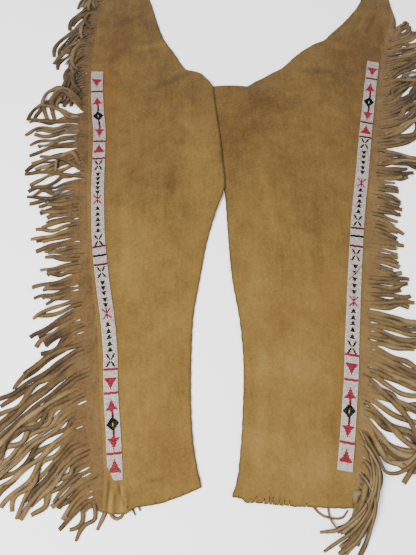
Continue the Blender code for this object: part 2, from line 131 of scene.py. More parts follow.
NARROW_BY = 0.045  # a strand has come down to its own width by here
SLANT_SHARE = 0.55  # the cuts in the flap slant by this share of a strand's turn
CUT_GAP = 0.00018
CUT_SOFT = 0.0005  # how far the edges of a cut are rounded off
OPEN_SHARE = 0.20  # of the cuts gape
OPENINGS = (0.0006, 0.0016)  # half of how wide they gape
CELL = 0.001
FIELD_LOW = (-0.46, -0.50)
FIELD_SIZE = (920, 1300)
FRINGE_TONE = 0.55  # share of the hide's tone beside it
DEPTH_SHADES = (-0.34, 0.12)  # painted shade on the strands that lie lowest, and painted light on those on top
OWN_TONES = (-0.42, 0.42)
# how the painted shade along a strand's sides fades towards its middle
RIM_POWER = 1.3
LIE_LOW = 0.0003
LIE_GAP = 0.0001
PILE_TOP = 0.0140  # where strands pile up higher, they press into each other
SLOPE = 0.32
SIDE_SLOPE = 0.55

# The beadwork
BEAD_COLUMNS = 13
BEAD_ROWS = 402
BEAD_RADIUS = 0.00098
BEAD_FILL = 0.95  # a bead's length, as a share of its column's width
BEAD_SIDES = 6
BEAD_TINTS = (0.1, 0.9)  # how pale a bead is
BEAD_LIGHT_FALLOFF = 0.7  # painted light: how much paler the beads are at the hem than at the hip, as light falls off towards the waist
BEAD_PROFILE = ((-0.5, 0.58), (-0.27, 0.98), (0.27, 0.98), (0.5, 0.58))
BACKING_LIFT = 0.0001
BACKING_THICK = 0.0007
EMPTY, WHITE, RED, DARK_RED, BLACK, YELLOW = range(-1, 5)
BEAD_NAMES = ("white", "red", "dark_red", "black", "yellow")

RIGHT_LEG_SECTIONS = (
    # inner x, inner y, seam x, seam y, bow
    (-0.009, -0.342, -0.157, -0.371, 0.010),
    (-0.017, -0.310, -0.158, -0.330, 0.005),
    (-0.023, -0.273, -0.163, -0.285, 0.000),
    (-0.027, -0.211, -0.172, -0.215, 0.000),
    (-0.027, -0.129, -0.181, -0.129, 0.000),
    (-0.025, -0.077, -0.188, -0.077, 0.000),
    (-0.014, -0.005, -0.201, -0.005, 0.000),
    (0.002, 0.082, -0.214, 0.082, 0.000),
    (0.015, 0.128, -0.219, 0.128, 0.000),
    (0.030, 0.174, -0.223, 0.174, 0.000),
    (0.027, 0.240, -0.227, 0.240, 0.000),
    (0.021, 0.308, -0.231, 0.308, 0.000),
    (0.015, 0.355, -0.234, 0.340, 0.000),
    (0.010, 0.409, -0.237, 0.385, 0.000),
)
RIGHT_RISE_SECTIONS = (
    (0.010, 0.409, -0.237, 0.385, 0.000),
    (-0.002, 0.426, -0.238, 0.418, 0.000),
    (-0.016, 0.442, -0.238, 0.450, 0.000),
    (-0.042, 0.455, -0.237, 0.488, 0.000),
    (-0.069, 0.494, -0.235, 0.530, 0.000),
    (-0.088, 0.526, -0.233, 0.562, 0.000),
    (-0.108, 0.582, -0.230, 0.604, 0.000),
    (-0.125, 0.640, -0.222, 0.646, 0.000),
    (-0.141, 0.676, -0.211, 0.678, 0.000),
    (-0.150, 0.704, -0.203, 0.704, 0.000),
)
LEFT_LEG_SECTIONS = (
    (0.036, -0.355, 0.219, -0.368, 0.004),
    (0.044, -0.330, 0.224, -0.335, 0.002),
    (0.050, -0.288, 0.231, -0.290, 0.000),
    (0.056, -0.211, 0.242, -0.211, 0.000),
    (0.058, -0.162, 0.249, -0.162, 0.000),
    (0.053, -0.077, 0.260, -0.077, 0.000),
    (0.042, -0.005, 0.269, -0.005, 0.000),
    (0.035, 0.092, 0.283, 0.092, 0.000),
    (0.030, 0.174, 0.298, 0.174, 0.000),
    (0.020, 0.240, 0.309, 0.240, 0.000),
    (0.006, 0.308, 0.318, 0.290, 0.000),
    (-0.006, 0.360, 0.324, 0.322, 0.000),
    (-0.012, 0.404, 0.329, 0.345, 0.000),
)
LEFT_RISE_SECTIONS = (
    (-0.012, 0.404, 0.329, 0.345, 0.000),
    (0.014, 0.411, 0.332, 0.362, 0.000),
    (0.044, 0.413, 0.336, 0.380, 0.000),
    (0.072, 0.415, 0.339, 0.400, 0.000),
    (0.101, 0.426, 0.345, 0.428, 0.000),
    (0.130, 0.444, 0.351, 0.460, 0.000),
    (0.157, 0.465, 0.357, 0.488, 0.000),
    (0.190, 0.497, 0.365, 0.520, 0.000),
    (0.216, 0.517, 0.373, 0.545, 0.000),
    (0.243, 0.537, 0.380, 0.567, 0.000),
    (0.278, 0.568, 0.387, 0.590, 0.000),
    (0.302, 0.597, 0.390, 0.612, 0.000),
    (0.320, 0.622, 0.389, 0.632, 0.000),
    (0.333, 0.650, 0.386, 0.650, 0.000),
)

# Width of the flap beyond the seam, before the cuts of the fringe begin
RIGHT_FLAP = (
    # y, width
    (-0.371, 0.016),
    (-0.342, 0.020),
    (-0.317, 0.030),
    (-0.276, 0.042),
    (-0.235, 0.033),
    (-0.187, 0.027),
    (-0.121, 0.029),
    (-0.041, 0.029),
    (0.041, 0.021),
    (0.122, 0.020),
    (0.207, 0.013),
    (0.296, 0.010),
    (0.367, 0.008),
    (0.690, 0.008),
)
LEFT_FLAP = (
    (-0.368, 0.008),
    (-0.303, 0.009),
    (-0.258, 0.012),
    (-0.211, 0.014),
    (-0.171, 0.016),
    (-0.121, 0.018),
    (-0.041, 0.015),
    (0.029, 0.016),
    (0.133, 0.019),
    (0.200, 0.015),
    (0.269, 0.017),
    (0.319, 0.020),
    (0.379, 0.018),
    (0.441, 0.012),
    (0.520, 0.011),
    (0.560, 0.016),
)

# How the strands lie: length, and the turn towards the hem near the root and at the tip
RIGHT_FAN = (
    # y, length, leave, end
    (-0.371, 0.032, 34, 30),
    (-0.350, 0.050, 42, 46),
    (-0.325, 0.080, 46, 60),
    (-0.300, 0.112, 44, 64),
    (-0.270, 0.155, 42, 54),
    (-0.235, 0.205, 40, 46),
    (-0.205, 0.225, 40, 42),
    (-0.175, 0.220, 40, 40),
    (-0.150, 0.190, 40, 42),
    (-0.128, 0.160, 40, 42),
    (-0.105, 0.105, 40, 32),
    (-0.070, 0.080, 34, 28),
    (-0.038, 0.078, 24, 18),
    (-0.012, 0.060, 20, 14),
    (0.010, 0.058, 16, 12),
    (0.040, 0.060, 4, -4),
    (0.075, 0.070, 12, 4),
    (0.120, 0.074, 12, 2),
    (0.155, 0.080, 18, 10),
    (0.185, 0.088, 22, 4),
    (0.204, 0.118, 4, -2),
    (0.230, 0.105, 26, 34),
    (0.260, 0.108, 14, 24),
    (0.285, 0.108, 4, 14),
    (0.310, 0.122, -4, 12),
    (0.334, 0.118, -6, 6),
    (0.344, 0.160, -42, 112),
    (0.366, 0.150, -38, 112),
    (0.376, 0.036, 4, 60),
    (0.400, 0.054, 8, 88),
    (0.430, 0.074, 8, 100),
    (0.470, 0.082, 8, 102),
    (0.500, 0.086, 6, 98),
    (0.530, 0.082, 4, 94),
    (0.550, 0.084, 6, 98),
    (0.590, 0.076, 8, 102),
    (0.640, 0.070, 8, 104),
    (0.678, 0.062, 4, 92),
)
LEFT_FAN = (
    (-0.368, 0.076, 52, 148),
    (-0.345, 0.100, 52, 150),
    (-0.320, 0.122, 54, 146),
    (-0.290, 0.150, 54, 140),
    (-0.268, 0.155, 54, 136),
    (-0.262, 0.155, 54, 134),
    (-0.256, 0.125, 50, -8),
    (-0.235, 0.124, 48, -2),
    (-0.205, 0.122, 42, 8),
    (-0.180, 0.120, 36, 12),
    (-0.140, 0.115, 36, 14),
    (-0.105, 0.100, 24, 4),
    (-0.075, 0.074, 14, 2),
    (-0.040, 0.066, 4, -18),
    (0.000, 0.062, 4, -4),
    (0.035, 0.046, 12, 8),
    (0.070, 0.044, 20, 36),
    (0.130, 0.046, 24, 46),
    (0.160, 0.042, 18, 6),
    (0.190, 0.040, 12, -20),
    (0.215, 0.066, 8, 12),
    (0.250, 0.092, 12, 2),
    (0.275, 0.110, -6, -66),
    (0.310, 0.106, -14, -62),
    (0.350, 0.104, -22, -54),
    (0.400, 0.100, -24, -44),
    (0.450, 0.098, -20, -34),
    (0.490, 0.092, -8, -10),
    (0.512, 0.074, -10, -30),
    (0.532, 0.058, -28, -72),
    (0.560, 0.044, -24, -84),
)
# Where along its way a strand turns: 1 evenly, and less than 1 mostly near its root
RIGHT_BENDS = (
    # y, bend
    (0.376, 1.05),
    (0.430, 0.72),
)
LEFT_BENDS = (
    (-0.262, 0.55),
    (-0.256, 1.05),
)

RIGHT_LOOSE = (
    # y, length, leave, end
    (0.098, 0.085, 34, 4),
    (-0.118, 0.130, 12, 60),
    (-0.250, 0.200, 48, 30),
    (-0.190, 0.190, 22, 60),
    (-0.362, 0.062, 48, 42),
    (0.455, 0.078, -20, 150),
    (0.524, 0.100, -16, 140),
    (0.610, 0.066, -10, 150),
)
LEFT_LOOSE = (
    (0.420, 0.110, 20, -40),
    (0.232, 0.090, -26, 20),
    (-0.092, 0.100, 40, -16),
    (-0.200, 0.125, 8, 44),
    (-0.300, 0.125, 44, 150),
    (-0.352, 0.106, 52, 150),
)

# Strands whose way is listed point by point: the height of their root, then x and y
RIGHT_ROUTES = (
    (0.356, ((-0.264, 0.374), (-0.280, 0.394), (-0.300, 0.404), (-0.320, 0.396), (-0.327, 0.374),
             (-0.321, 0.350), (-0.312, 0.326))),
    (0.364, ((-0.262, 0.379), (-0.284, 0.396), (-0.300, 0.396), (-0.310, 0.379), (-0.307, 0.355),
             (-0.299, 0.329))),
    (0.348, ((-0.265, 0.369), (-0.291, 0.391), (-0.304, 0.379), (-0.306, 0.355))),
    (0.334, ((-0.270, 0.334), (-0.292, 0.355), (-0.298, 0.362), (-0.290, 0.379))),
    (0.341, ((-0.264, 0.341), (-0.292, 0.353), (-0.322, 0.360), (-0.339, 0.357))),
    (0.326, ((-0.269, 0.326), (-0.308, 0.324), (-0.348, 0.331))),
    (0.224, ((-0.259, 0.253), (-0.281, 0.240), (-0.286, 0.213))),
    (0.216, ((-0.251, 0.226), (-0.290, 0.240), (-0.319, 0.246))),
    (0.204, ((-0.277, 0.207), (-0.315, 0.211), (-0.343, 0.207))),
)
LEFT_ROUTES = (
    (-0.175, ((0.285, -0.205), (0.318, -0.245), (0.326, -0.285), (0.312, -0.315), (0.297, -0.336))),
    (-0.218, ((0.274, -0.238), (0.302, -0.270), (0.330, -0.292))),
    (-0.240, ((0.266, -0.262), (0.290, -0.290), (0.318, -0.296), (0.338, -0.278))),
    (-0.249, ((0.260, -0.274), (0.278, -0.304), (0.302, -0.308), (0.326, -0.290))),
)

# Thongs and stray strands, each through listed points: width, then x and y
RIGHT_THONGS = (
    (0.0066, ((-0.174, -0.356), (-0.168, -0.376), (-0.168, -0.385), (-0.183, -0.395),
              (-0.190, -0.405), (-0.194, -0.416))),
    (0.0066, ((-0.151, -0.366), (-0.154, -0.379), (-0.159, -0.390), (-0.164, -0.401))),
    (0.0052, ((-0.147, -0.370), (-0.143, -0.382), (-0.136, -0.386), (-0.129, -0.383),
              (-0.126, -0.372))),
    (0.0036, ((-0.117, -0.364), (-0.112, -0.374), (-0.108, -0.381))),
    (0.0036, ((-0.107, -0.362), (-0.101, -0.375))),
)
LEFT_THONGS = (
    (0.0034, ((0.152, -0.356), (0.158, -0.369), (0.169, -0.380), (0.185, -0.385),
              (0.200, -0.384), (0.209, -0.374))),
    (0.0032, ((0.179, -0.358), (0.180, -0.372), (0.181, -0.383), (0.185, -0.392),
              (0.193, -0.402))),
    (0.0056, ((0.235, -0.250), (0.248, -0.288), (0.251, -0.317), (0.238, -0.360),
              (0.211, -0.388), (0.188, -0.401), (0.165, -0.404))),
    (0.0058, ((0.239, -0.261), (0.255, -0.295), (0.254, -0.325), (0.240, -0.367),
              (0.213, -0.401), (0.191, -0.416), (0.169, -0.430))),
    (0.0056, ((0.241, -0.273), (0.258, -0.317), (0.253, -0.353), (0.236, -0.388),
              (0.216, -0.415), (0.199, -0.428))),
    (0.0050, ((0.230, -0.317), (0.247, -0.360), (0.239, -0.395), (0.227, -0.427))),
    (0.0060, ((0.240, -0.256), (0.258, -0.296), (0.272, -0.321), (0.287, -0.322),
              (0.306, -0.314), (0.322, -0.300), (0.334, -0.286))),
)

# Broad folds as in the solids, then the finer creases: troughs have a height below zero
RIGHT_FOLDS = (
    # from x, from y, to x, to y, half width, height
    (-0.141, -0.378, -0.144, -0.347, 0.008, 0.0032),
    (-0.118, -0.376, -0.122, -0.346, 0.009, 0.0028),
    (-0.120, -0.333, -0.060, -0.336, 0.010, 0.0010),
    (-0.205, 0.640, -0.170, 0.480, 0.022, 0.0013),
    (-0.100, -0.240, -0.070, 0.040, 0.030, 0.0012),
)
LEFT_FOLDS = (
    (0.358, 0.545, 0.370, 0.640, 0.012, 0.0020),
    (0.318, 0.540, 0.345, 0.620, 0.012, 0.0012),
    (0.090, 0.390, 0.210, 0.330, 0.026, 0.0013),
    (0.200, 0.450, 0.290, 0.410, 0.022, 0.0012),
    (0.130, -0.280, 0.150, 0.020, 0.034, 0.0012),
)
RIGHT_CREASES = (
    (-0.152, -0.384, -0.150, -0.330, 0.0022, -0.0018),
    (-0.146, -0.382, -0.143, -0.345, 0.0026, 0.0010),
    (-0.126, -0.366, -0.136, -0.337, 0.0022, -0.0018),
    (-0.128, -0.381, -0.130, -0.339, 0.0026, 0.0014),
    (-0.138, -0.384, -0.139, -0.352, 0.0026, -0.0009),
    (-0.118, -0.376, -0.120, -0.346, 0.0024, -0.0009),
    (-0.127, -0.333, -0.077, -0.332, 0.0024, -0.0008),
    (-0.077, -0.332, -0.066, -0.326, 0.0024, -0.0007),
    (-0.120, -0.337, -0.080, -0.336, 0.0026, 0.0006),
    (-0.040, 0.440, -0.110, 0.400, 0.0060, -0.0005),
    (-0.090, 0.520, -0.150, 0.500, 0.0070, 0.0006),
    (-0.130, 0.600, -0.200, 0.560, 0.0060, -0.0006),
    (-0.060, 0.250, -0.075, 0.110, 0.0100, -0.0004),
    (-0.150, 0.150, -0.140, -0.020, 0.0110, 0.0005),
    (-0.020, 0.300, -0.060, 0.330, 0.0070, 0.0005),
)
LEFT_CREASES = (
    (0.352, 0.590, 0.330, 0.545, 0.0040, -0.0010),
    (0.336, 0.600, 0.318, 0.560, 0.0040, 0.0007),
    (0.362, 0.560, 0.350, 0.500, 0.0050, -0.0007),
    (0.345, 0.520, 0.365, 0.505, 0.0035, 0.0009),
    (0.325, 0.510, 0.352, 0.500, 0.0035, -0.0008),
    (0.250, 0.520, 0.300, 0.500, 0.0070, 0.0005),
    (0.180, 0.450, 0.260, 0.440, 0.0080, -0.0005),
    (0.100, 0.250, 0.120, 0.080, 0.0110, 0.0005),
    (0.200, 0.180, 0.190, -0.020, 0.0100, -0.0004),
    (0.090, -0.120, 0.080, -0.300, 0.0090, 0.0005),
    (0.200, -0.220, 0.190, -0.350, 0.0080, -0.0004),
)

# Cuts and sagging of each hem: shares of the width from the inner edge to the seam
RIGHT_HEM_SLITS = (
    # share, depth
    (0.10, 0.003), (0.19, 0.004), (0.33, 0.003), (0.47, 0.004), (0.70, 0.006), (0.74, 0.007),
)
LEFT_HEM_SLITS = (
    (0.055, 0.004), (0.145, 0.006), (0.19, 0.009), (0.26, 0.006), (0.305, 0.008),
    (0.33, 0.009), (0.375, 0.009), (0.42, 0.006), (0.47, 0.007), (0.61, 0.004),
)
RIGHT_HEM_DROP = ((0.0, 0.0), (0.4, 0.001), (0.63, 0.0), (0.68, 0.001), (0.76, 0.008), (0.9, 0.009), (1.0, 0.007))
LEFT_HEM_DROP = ((0.0, 0.0), (0.05, 0.001), (0.08, 0.001), (0.11, 0.006), (0.2, 0.004), (0.6, 0.003), (1.0, 0.004))

# Patches of another tone: x, y, half sizes, lighter or darker, and orange-brown
RIGHT_PATCHES = (
    # x, y, wide, high, tone, rust
    (-0.200, 0.400, 0.020, 0.060, -0.10, 0.55),
    (-0.196, 0.300, 0.014, 0.110, -0.05, 0.45),
    (-0.064, 0.373, 0.014, 0.012, 0.0, 0.45),
    (-0.128, 0.286, 0.014, 0.018, 0.0, 0.40),
    (-0.128, 0.204, 0.012, 0.016, -0.1, 0.50),
    (-0.166, 0.325, 0.016, 0.016, -0.15, 0.35),
    (-0.150, 0.450, 0.040, 0.030, 0.10, 0.0),
    (-0.190, 0.500, 0.022, 0.060, -0.35, 0.30),
    (-0.010, 0.255, 0.030, 0.110, 0.28, 0.0),
    (-0.060, 0.250, 0.030, 0.060, 0.15, 0.0),
    (-0.070, 0.185, 0.022, 0.020, -0.30, 0.25),
    (-0.130, 0.020, 0.030, 0.060, 0.20, 0.0),
    (-0.060, -0.080, 0.035, 0.050, 0.15, 0.05),
    (-0.150, -0.120, 0.020, 0.060, -0.10, 0.25),
    (-0.090, -0.220, 0.040, 0.040, 0.10, 0.15),
    (-0.050, -0.300, 0.030, 0.030, -0.15, 0.20),
    (-0.020, 0.060, 0.020, 0.060, 0.15, 0.0),
)
LEFT_PATCHES = (
    (0.300, 0.330, 0.016, 0.120, -0.05, 0.45),
    (0.290, 0.160, 0.012, 0.060, -0.05, 0.35),
    (0.300, 0.500, 0.040, 0.040, -0.15, 0.30),
    (0.350, 0.560, 0.024, 0.050, -0.20, 0.35),
    (0.120, 0.370, 0.060, 0.030, -0.25, 0.15),
    (0.180, 0.470, 0.050, 0.030, 0.15, 0.0),
    (0.060, 0.300, 0.040, 0.050, -0.20, 0.20),
    (0.230, 0.330, 0.030, 0.070, 0.10, 0.0),
    (0.120, 0.180, 0.060, 0.060, 0.05, 0.10),
    (0.080, 0.020, 0.030, 0.080, 0.25, 0.0),
    (0.210, -0.040, 0.030, 0.060, 0.0, 0.30),
    (0.140, -0.160, 0.040, 0.050, 0.30, 0.0),
    (0.220, -0.200, 0.016, 0.080, -0.10, 0.30),
    (0.090, -0.270, 0.040, 0.030, 0.20, 0.0),
    (0.170, -0.310, 0.040, 0.024, 0.25, 0.0),
    (0.130, -0.080, 0.030, 0.040, -0.15, 0.20),
)

# The strips' patterns, from the hip to the hem: motif, its middle's y, and which way it points
# or the colour in its middle.
# A row is five small triangles, between the places of its first and last.
RIGHT_MOTIFS = (
    ("triangle", 0.416, -1),
    ("dark bar", 0.3931),
    ("arrow", 0.3703, 1),
    ("diamond", 0.3326, WHITE),
    ("arrow", 0.2958, -1),
    ("dark bar", 0.2757),
    ("triangle", 0.2585, 1),
    ("dark bar", 0.2354),
    ("cross", 0.2234),
    ("row", (0.2033, 0.1651), -1),
    ("star", 0.1493),
    ("row", (0.1302, 0.0850), 1),
    ("cross", 0.0656),
    ("dark bar", 0.0521),
    ("black bar", 0.0343),
    ("dark bar", 0.0179),
    ("cross", 0.0040),
    ("row", (-0.0142, -0.0558), -1),
    ("star", -0.0721),
    ("row", (-0.0903, -0.1337), 1),
    ("cross", -0.1509),
    ("red bar", -0.1660),
    ("triangle", -0.1878, -1),
    ("red bar", -0.2051),
    ("arrow", -0.2243, 1),
    ("diamond", -0.2530, YELLOW),
    ("arrow", -0.2800, -1),
    ("red bar", -0.2972),
    ("triangle", -0.3141, 1),
)
LEFT_MOTIFS = (
    ("triangle", 0.4401, -1),
    ("dark bar", 0.4209),
    ("arrow", 0.3990, 1),
    ("diamond", 0.3651, WHITE),
    ("arrow", 0.3330, -1),
    ("dark bar", 0.3160),
    ("triangle", 0.3000, 1),
    ("dark bar", 0.2831),
    ("cross", 0.2690),
    ("row", (0.2500, 0.2053), -1),
    ("star", 0.1834),
    ("row", (0.1667, 0.1216), 1),
    ("cross", 0.1042),
    ("dark bar", 0.0891),
    ("black bar", 0.0725),
    ("dark bar", 0.0530),
    ("cross", 0.0384),
    ("row", (0.0157, -0.0310), -1),
    ("star", -0.0477),
    ("row", (-0.0660, -0.1101), 1),
    ("cross", -0.1280),
    ("red bar", -0.1421),
    ("triangle", -0.1648, -1),
    ("red bar", -0.1831),
    ("arrow", -0.2042, 1),
    ("diamond", -0.2330, YELLOW),
    ("arrow", -0.2623, -1),
    ("red bar", -0.2807),
    ("triangle", -0.3011, 1),
)

# How far the strips, sewn on by hand, keep from the seams
RIGHT_INSET = (
    # y, distance
    (-0.330, 0.0054),
    (-0.250, 0.0065),
    (-0.185, 0.0066),
    (-0.140, 0.0083),
    (-0.050, 0.0068),
    (0.047, 0.0060),
    (0.153, 0.0076),
    (0.237, 0.0092),
    (0.297, 0.0100),
    (0.359, 0.0068),
    (0.424, 0.0036),
    (0.450, 0.0032),
)
LEFT_INSET = (
    (-0.330, 0.0060),
    (-0.307, 0.0058),
    (-0.247, 0.0045),
    (-0.184, 0.0034),
    (-0.119, 0.0046),
    (-0.025, 0.0040),
    (0.047, 0.0034),
    (0.153, 0.0047),
    (0.222, 0.0036),
    (0.297, 0.0040),
    (0.374, 0.0048),
    (0.466, 0.0046),
)

# Small dips in the inner edges above the crotch
RIGHT_EDGE_DIPS = (
    # x, depth, half width
    (-0.047, 0.0050, 0.012),
    (-0.098, 0.0030, 0.010),
)
LEFT_EDGE_DIPS = (
    (0.073, 0.0065, 0.017),
    (0.151, 0.0030, 0.012),
    (0.241, 0.0062, 0.015),
)

# The loose thread on the left strip: y, and distance in from the strip's outer edge
LOOSE_THREAD = (
    (0.0187, 0.0003), (0.0150, 0.0045), (0.0090, 0.0080), (0.0035, 0.0125), (-0.0035, 0.0165),
    (-0.0095, 0.0226),
)

LEGS = {
    "right": {
        "out": -1,
        "leg": RIGHT_LEG_SECTIONS,
        "rise": RIGHT_RISE_SECTIONS,
        "flap": RIGHT_FLAP,
        "fan": RIGHT_FAN,
        "bends": RIGHT_BENDS,
        "loose": RIGHT_LOOSE,
        "thongs": RIGHT_THONGS,
        "folds": RIGHT_FOLDS,
        "creases": RIGHT_CREASES,
        "slits": RIGHT_HEM_SLITS,
        "drop": RIGHT_HEM_DROP,
        "patches": RIGHT_PATCHES,
        "strip": (-0.332, 0.4448),
        "inset": RIGHT_INSET,
        "routes": RIGHT_ROUTES,
        "dips": RIGHT_EDGE_DIPS,
        "motifs": RIGHT_MOTIFS,
        "widths": (0.0076, 0.0098),
        "strand": (-0.23, 0.14),
        "root": (-0.23, 0.32),
        "top": 0.766,
        "cut": (0.268, 1.147),
        "seed": 5,
    },
    "left": {
        "out": 1,
        "leg": LEFT_LEG_SECTIONS,
        "rise": LEFT_RISE_SECTIONS,
        "flap": LEFT_FLAP,
        "fan": LEFT_FAN,
        "bends": LEFT_BENDS,
        "loose": LEFT_LOOSE,
        "thongs": LEFT_THONGS,
        "folds": LEFT_FOLDS,
        "creases": LEFT_CREASES,
        "slits": LEFT_HEM_SLITS,
        "drop": LEFT_HEM_DROP,
        "patches": LEFT_PATCHES,
        "strip": (-0.3205, 0.4665),
        "inset": LEFT_INSET,
        "routes": LEFT_ROUTES,
        "dips": LEFT_EDGE_DIPS,
        "motifs": LEFT_MOTIFS,
        "widths": (0.0084, 0.0108),
        "strand": (-0.03, 0.0),
        "root": (-0.06, 0.32),
        "top": 0.712,
        "cut": (0.402, 1.082),
        "seed": 11,
    },
}


def ease(t):
    """0 up to t = 0, 1 from t = 1, and a smooth step between."""
    t = np.clip(t, 0.0, 1.0)
    return t * t * (3.0 - 2.0 * t)


def smooth_curve(knots, places):
    """Points of the smooth curve through the knots, at shares 0 to 1 of its length."""
    knots = np.array(knots, float)
    steps = np.linalg.norm(np.diff(knots, axis=0), axis=1)
    at = np.concatenate([[0.0], np.cumsum(steps)])
    slopes = np.gradient(knots, at, axis=0)
    x = np.clip(np.asarray(places, float), 0.0, 1.0) * at[-1]
    i = np.clip(np.searchsorted(at, x, side="right") - 1, 0, len(at) - 2)
    span = (at[i + 1] - at[i])[:, None]
    t = ((x - at[i]) / (at[i + 1] - at[i]))[:, None]
    return (
        (2 * t**3 - 3 * t**2 + 1) * knots[i]
        + (t**3 - 2 * t**2 + t) * span * slopes[i]
        + (3 * t**2 - 2 * t**3) * knots[i + 1]
        + (t**3 - t**2) * span * slopes[i + 1]
    )


def leg_rows(leg, leg_steps, rise_steps, tab_steps):
    """Rows of a leg from the hem to the top, each as inner x, inner y, seam x, seam y, bow."""
    places = np.union1d(np.linspace(0, 1, leg_steps + 1), np.linspace(0, HEM_SHARE, HEM_ROWS + 1))
    lower = smooth_curve(leg["leg"], places)
    upper = smooth_curve(leg["rise"], np.linspace(0, 1, rise_steps + 1))
    inner_x, foot, seam_x = leg["rise"][-1][:3]
    heights = np.linspace(foot, leg["top"], tab_steps + 1)[1:]
    tab = [(inner_x, y, seam_x, y, 0.0) for y in heights]
    return np.vstack([lower, upper[1:], tab]), len(lower)


def inner_edge(leg, y):
    """The x of a leg's inner edge at a height y."""
    return np.interp(y, leg["rows"][:, 1], leg["rows"][:, 0])


def seam_edge(leg, y):
    """The x of a leg's outer seam at a height y."""
    return np.interp(y, leg["rows"][:, 3], leg["rows"][:, 2])


def lap_lift(x, y):
    """Height of the right leg where it lies on the left one's inner edge."""
    below_crotch = LEGS["left"]["rows"][: LEGS["left"]["crotch"]]
    edge = np.interp(y, below_crotch[:, 1], below_crotch[:, 0])
    across = ease((x - edge + LAP_SPARE + LAP_RAMP) / LAP_RAMP)
    along = ease((y - LAP_FOOT) / LAP_CLIMB)
    return LAP_LIFT * across * along * (1 - ease((y - LAP_HIGH) / LAP_RAMP))


def tab_foot(leg):
    return leg["rise"][-1][1]


def back_height(leg, x, y, share):
    """Height of a back's under face; share is 0 at the inner edge and 1 at the seam."""
    lap = np.where(share < LAP_SHARE, lap_lift(x, y), 0.0) if leg["out"] < 0 else 0.0
    return TAB_LIFT * ease((y - tab_foot(leg)) / TAB_RAMP) + lap


def ridges(table, x, y):
    """Height of soft ridges, or troughs, at points of a front."""
    height = np.zeros_like(x)
    for x0, y0, x1, y1, half_width, high in table:
        run_x, run_y = x1 - x0, y1 - y0
        length = math.hypot(run_x, run_y)
        along = ((x - x0) * run_x + (y - y0) * run_y) / length**2
        off = abs((x - x0) * run_y - (y - y0) * run_x) / length
        start = ease((along + FOLD_ENDS) / (2 * FOLD_ENDS))
        stop = ease((1 + FOLD_ENDS - along) / (2 * FOLD_ENDS))
        height += high * (1 - ease(off / (FOLD_FOOT * half_width))) * start * stop
    return height


def waves(x, y):
    """The slight unevenness of a soft hide that lies loose."""
    flat = [
        sum(high * noise.noise(Vector((px * scale, py * scale, scale))) for scale, high in WAVE_SCALES)
        for px, py in zip(x.ravel(), y.ravel())
    ]
    return np.array(flat).reshape(x.shape)


def clear_of_lap(leg, x, y):
    """0 where the right leg lies on the left one, and 1 away from it."""
    if leg["out"] < 0:
        return 1.0
    right = LEGS["right"]
    return ease((x - inner_edge(right, y) - 0.004) / 0.025)


def front_height(leg, x, y, share):
    """Height of a front's inner face; share is 0 at the inner edge and 1 at the seam."""
    edge = np.minimum(share, 1 - share)
    rise = PUFF * ease((edge - PUFF_CLEAR) / PUFF_RAMP)
    hold = ease((edge if leg["out"] > 0 else share) / PUFF_CLEAR)
    fine = (ridges(leg["creases"], x, y) + waves(x, y)) * clear_of_lap(leg, x, y)
    calm = 1 - ease((y - tab_foot(leg) + TAB_CALM) / TAB_CALM)
    loose = rise + hold * ridges(leg["folds"], x, y) + hold * fine
    return back_height(leg, x, y, share) + FRONT_REST + calm * np.maximum(loose, 0.0)


def piece(name, mesh, material):
    """Places a finished mesh about the middle of the pair, riding on the one body."""
    obj = bpy.data.objects.new(name, mesh)
    obj.location = (-MIDDLE[0], -MIDDLE[1], 0.0)
    mesh.materials.append(material)
    bpy.context.scene.collection.objects.link(obj)
    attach(obj, BODY)
    return obj


def smooth_mesh(name, points, faces, marks=None, sharp=50, weld=0.0):
    """A mesh from points and faces, with named numbers on its points, shaded smooth."""
    mesh = bpy.data.meshes.new(name)
    mesh.from_pydata(np.asarray(points).tolist(), [], faces)
    for mark, values in (marks or {}).items():
        mesh.attributes.new(mark, "FLOAT", "POINT").data.foreach_set("value", np.ravel(values))
    bm = bmesh.new()
    bm.from_mesh(mesh)
    if weld:
        bmesh.ops.remove_doubles(bm, verts=bm.verts, dist=weld)
    bmesh.ops.delete(bm, geom=[v for v in bm.verts if not v.link_faces], context="VERTS")
    bmesh.ops.recalc_face_normals(bm, faces=bm.faces)
    bm.to_mesh(mesh)
    bm.free()
    mesh.shade_smooth()
    mesh.set_sharp_from_angle(angle=math.radians(sharp))
    return mesh


def shell_faces(keep):
    """Faces of a closed sheet between two grids of points, over the cells that are kept."""
    rows, columns = keep.shape[0] + 1, keep.shape[1] + 1
    low = np.arange(rows * columns).reshape(rows, columns)
    high = low + rows * columns
    corners = [grid[a : a + rows - 1, b : b + columns - 1] for grid in (low, high)
               for a, b in ((0, 0), (0, 1), (1, 1), (1, 0))]
    under, over = (np.stack(corners[k : k + 4], axis=-1)[keep] for k in (0, 4))
    faces = over.tolist() + under[:, ::-1].tolist()
    padded = np.pad(keep, 1)
    core = padded[1:-1, 1:-1]
    sides = (
        (padded[:-2, 1:-1], 0, 1), (padded[1:-1, 2:], 1, 2),
        (padded[2:, 1:-1], 2, 3), (padded[1:-1, :-2], 3, 0),
    )
    for beyond, a, b in sides:
        rim = core & ~beyond
        quads = np.stack([corners[a], corners[b], corners[4 + b], corners[4 + a]], axis=-1)[rim]
        faces += quads.tolist()
    return faces


def tones(leg, x, y):
    """How much lighter or darker, and how orange-brown, a hide is at each point: painted shade that deepens
    towards the waist, and patches of the hide's own tone.
    """
    # painted shade: the hide is darker towards the waist, where less light falls
    tone = -0.02 - 0.52 * ease((y + 0.25) / 0.75)
    rust = np.zeros_like(x)
    for patch_x, patch_y, wide, high, lighter, browner in leg["patches"]:
        near = np.exp(-(((x - patch_x) / wide) ** 2) - ((y - patch_y) / high) ** 2)
        tone = tone + lighter * near
        rust = rust + browner * near
    return tone, rust


